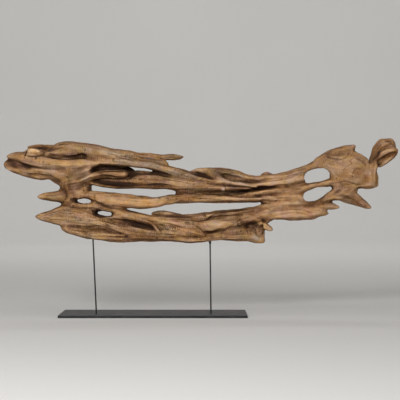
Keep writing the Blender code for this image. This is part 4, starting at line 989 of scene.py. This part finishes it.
def wood_material():
    """Dry honey-coloured wood, stained, with painted shade that darkens its grooves, hollows and recesses."""
    s = Shader("weathered_wood")
    fine, medium, broad = s.add("SeparateXYZ", {0: s.field("streaks", "Vector")}).node.outputs
    fibre_long = s.noise(1.0, 4, (14, 260, 260))
    fibre_tall = s.noise(1.0, 4, (260, 260, 14))
    fibre = s.add("Mix", {0: s.field("upright"), 2: fibre_long, 3: fibre_tall})
    speckle = s.noise(420.0, 2)
    shut = s.field("shut")
    wear = s.range(s.field("rough"), 0.0, 1.0, 0.45, 1.0)
    mottle = s.sum(
        0.0, (s.middle(fibre), 0.36), (s.middle(s.noise(36.0, 4)), 0.45), (s.middle(s.noise(110.0, 3)), 0.5),
    )
    # The tone mixes grain and mottling with painted shade in hollows, in recesses and on sides turned from
    # the front, and with the painted light and shade of SHADES.
    tone = s.sum(
        0.58, (medium, 0.035), (fine, 0.03), (broad, 0.03), (s.field("hollow"), -0.1), (shut, -0.3),
        (s.field("shade"), 1.0), (s.field("edge"), -0.29), (s.middle(s.noise(8.0, 3)), 0.2),
        (s.math("MULTIPLY", mottle, wear), 1.0), (s.middle(speckle), 0.2),
    )
    colour = s.ramp(tone, WOOD_TONES)
    stain = s.range(s.noise(21.0, 4), 0.5, 0.66)
    colour = s.blend(s.math("MULTIPLY", stain, 0.55), colour, STAIN, "MULTIPLY")
    warmth = s.range(s.noise(33.0, 5, (0.8, 1, 1.2)), 0.36, 0.64)
    colour = s.blend(1.0, colour, s.blend(warmth, COOL, WARM), "MULTIPLY")
    blush = s.range(s.noise(27.0, 4, (1, 1.3, 0.8)), 0.52, 0.68)
    colour = s.blend(s.math("MULTIPLY", blush, 0.55), colour, BLUSH, "MULTIPLY")
    for name, tint in TINTS.items():
        colour = s.blend(s.field("tint_" + name), colour, (*tint, 1), "MULTIPLY")
    split, fold, patchy = s.add("SeparateXYZ", {0: s.field("splits", "Vector")}).node.outputs
    crack = s.range(s.math("ABSOLUTE", split), 0.04, 0.34, 0.85, 0.0)
    crack = s.math("MULTIPLY", crack, s.range(patchy, 0.1, 1.0))
    hair = s.range(s.math("ABSOLUTE", fine), 0.0, 0.22, 0.35, 0.0)
    hair = s.math("MULTIPLY", hair, s.range(s.noise(16.0, 2), 0.45, 0.62))
    crease = s.range(s.math("ABSOLUTE", fold), 0.03, 0.22, 0.6, 0.0)
    crease = s.math("MULTIPLY", crease, s.range(patchy, 0.5, -0.8))
    unworn = s.range(s.field("rough"), 0.0, 1.0, 0.25, 1.0)
    lines = s.math("MULTIPLY", s.math("MAXIMUM", crack, crease), unworn)
    fleck = s.range(s.noise(170.0, 2), 0.64, 0.72, 0.0, 0.6)
    # Dark marks, flecks, cracks and hairlines, with painted shade deep in recesses, all mixed in one dark
    # colour.
    grime_and_shade = s.sum(s.field("dark"), (s.range(shut, 0.25, 0.8), 0.5), (fleck, 1.0), (lines, 1.0), (hair, 1.0))
    colour = s.blend(s.range(grime_and_shade, 0.0, 1.0, 0.0, 0.94), colour, GRIME_AND_SHADE)
    rough = s.range(s.sum(fibre, (shut, 0.4)), 0.2, 1.0, 0.6, 0.85)
    relief = s.sum(fibre, (speckle, 0.4))
    bump = s.add("Bump", {"Strength": 0.5, "Distance": 0.0012, "Height": relief})
    s.set(Base_Color=colour, Roughness=rough, Normal=bump)
    s.surface.inputs["Specular IOR Level"].default_value = 0.16
    return s.material


def steel_material(name, colour, metallic, roughness, grain):
    """Dark metal with a faint lengthwise or pebbled finish."""
    s = Shader(name)
    finish = s.noise(1.0, 3, grain)
    wear = s.noise(24.0, 4)
    worn = tuple(min(1.0, 1.9 * c + 0.01) for c in colour)
    s.set(
        Base_Color=s.blend(s.range(wear, 0.45, 0.75), (*colour, 1), (*worn, 1)),
        Roughness=s.range(s.math("ADD", finish, wear), 0.6, 1.4, roughness - 0.08, roughness + 0.12),
        Normal=s.add("Bump", {"Strength": 0.25, "Distance": 0.0003, "Height": finish}),
    )
    s.surface.inputs["Metallic"].default_value = metallic
    return s.material


def floor_material():
    s = Shader("studio_floor")
    s.set(Base_Color=s.blend(s.noise(0.6, 2), (0.74, 0.73, 0.71, 1), (0.78, 0.77, 0.75, 1)))
    s.surface.inputs["Roughness"].default_value = 0.85
    return s.material


def make_wood():
    wood = cut_sockets(carve(fine_wood()))
    wood.data.shade_smooth()
    shade_recesses(wood)
    wood.data.materials.clear()
    wood.data.materials.append(wood_material())
    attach(wood, "root")
    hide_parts("driftwood")


def dress_stand():
    """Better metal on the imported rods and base."""
    rod_steel = steel_material("dark_steel", (0.045, 0.045, 0.048), 0.8, 0.36, (900, 900, 30))
    base_steel = steel_material("black_steel", (0.016, 0.016, 0.018), 0.3, 0.46, (700, 700, 700))
    for node, material in (("left_rod", rod_steel), ("right_rod", rod_steel), ("stand_base", base_steel)):
        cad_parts[node].data.materials.clear()
        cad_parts[node].data.materials.append(material)


def make_stage():
    """A pale floor that curves up all round into a wall."""
    flat_radius, bend_radius, wall_top, sides = 8.0, 5.0, 9.0, 72
    profile = [(0.0, 0.0), (2.0, 0.0), (flat_radius, 0.0)]
    for angle in np.linspace(0, math.pi / 2, 12)[1:]:
        profile.append((flat_radius + bend_radius * math.sin(angle), bend_radius * (1 - math.cos(angle))))
    profile.append((flat_radius + bend_radius, wall_top))
    points, faces = [], []
    for radius, height in profile:
        for i in range(sides):
            angle = math.tau * i / sides
            points.append((radius * math.cos(angle), radius * math.sin(angle), height))
    for ring in range(len(profile) - 1):
        for i in range(sides):
            j = (i + 1) % sides
            faces.append((ring * sides + i, ring * sides + j, (ring + 1) * sides + j, (ring + 1) * sides + i))
    floor = mesh_object("studio_floor", points, faces)
    floor.data.shade_smooth()
    floor.data.materials.append(floor_material())


def make_lights():
    """Soft lamps that the camera doesn't see, and a faint even light from all round."""
    for name, (power, size, place, target) in LIGHTS.items():
        light = bpy.data.lights.new(name, "AREA")
        light.energy = power
        light.size = size
        lamp = new_object(name, light)
        lamp.location = place
        lamp.visible_camera = False
        lamp.rotation_mode = "QUATERNION"
        lamp.rotation_quaternion = (Vector(target) - lamp.location).to_track_quat("-Z", "Y")
    world = bpy.data.worlds.new("studio")
    bpy.context.scene.world = world
    world.use_nodes = True
    world.node_tree.nodes["Background"].inputs["Color"].default_value = (1.0, 0.98, 0.95, 1)
    world.node_tree.nodes["Background"].inputs["Strength"].default_value = 0.16


def make_camera():
    data = bpy.data.cameras.new("camera")
    data.sensor_width = SENSOR_WIDTH
    data.lens = SENSOR_WIDTH * CAMERA_DISTANCE / (2 * PHOTO_CENTRE * PIXEL)
    camera = new_object("camera", data)
    camera.location = CAMERA
    camera.rotation_euler = (math.pi / 2, 0, 0)
    bpy.context.scene.camera = camera


make_camera()
make_stage()
make_lights()
make_wood()
dress_stand()
bpy.context.scene.view_settings.view_transform = "Standard"
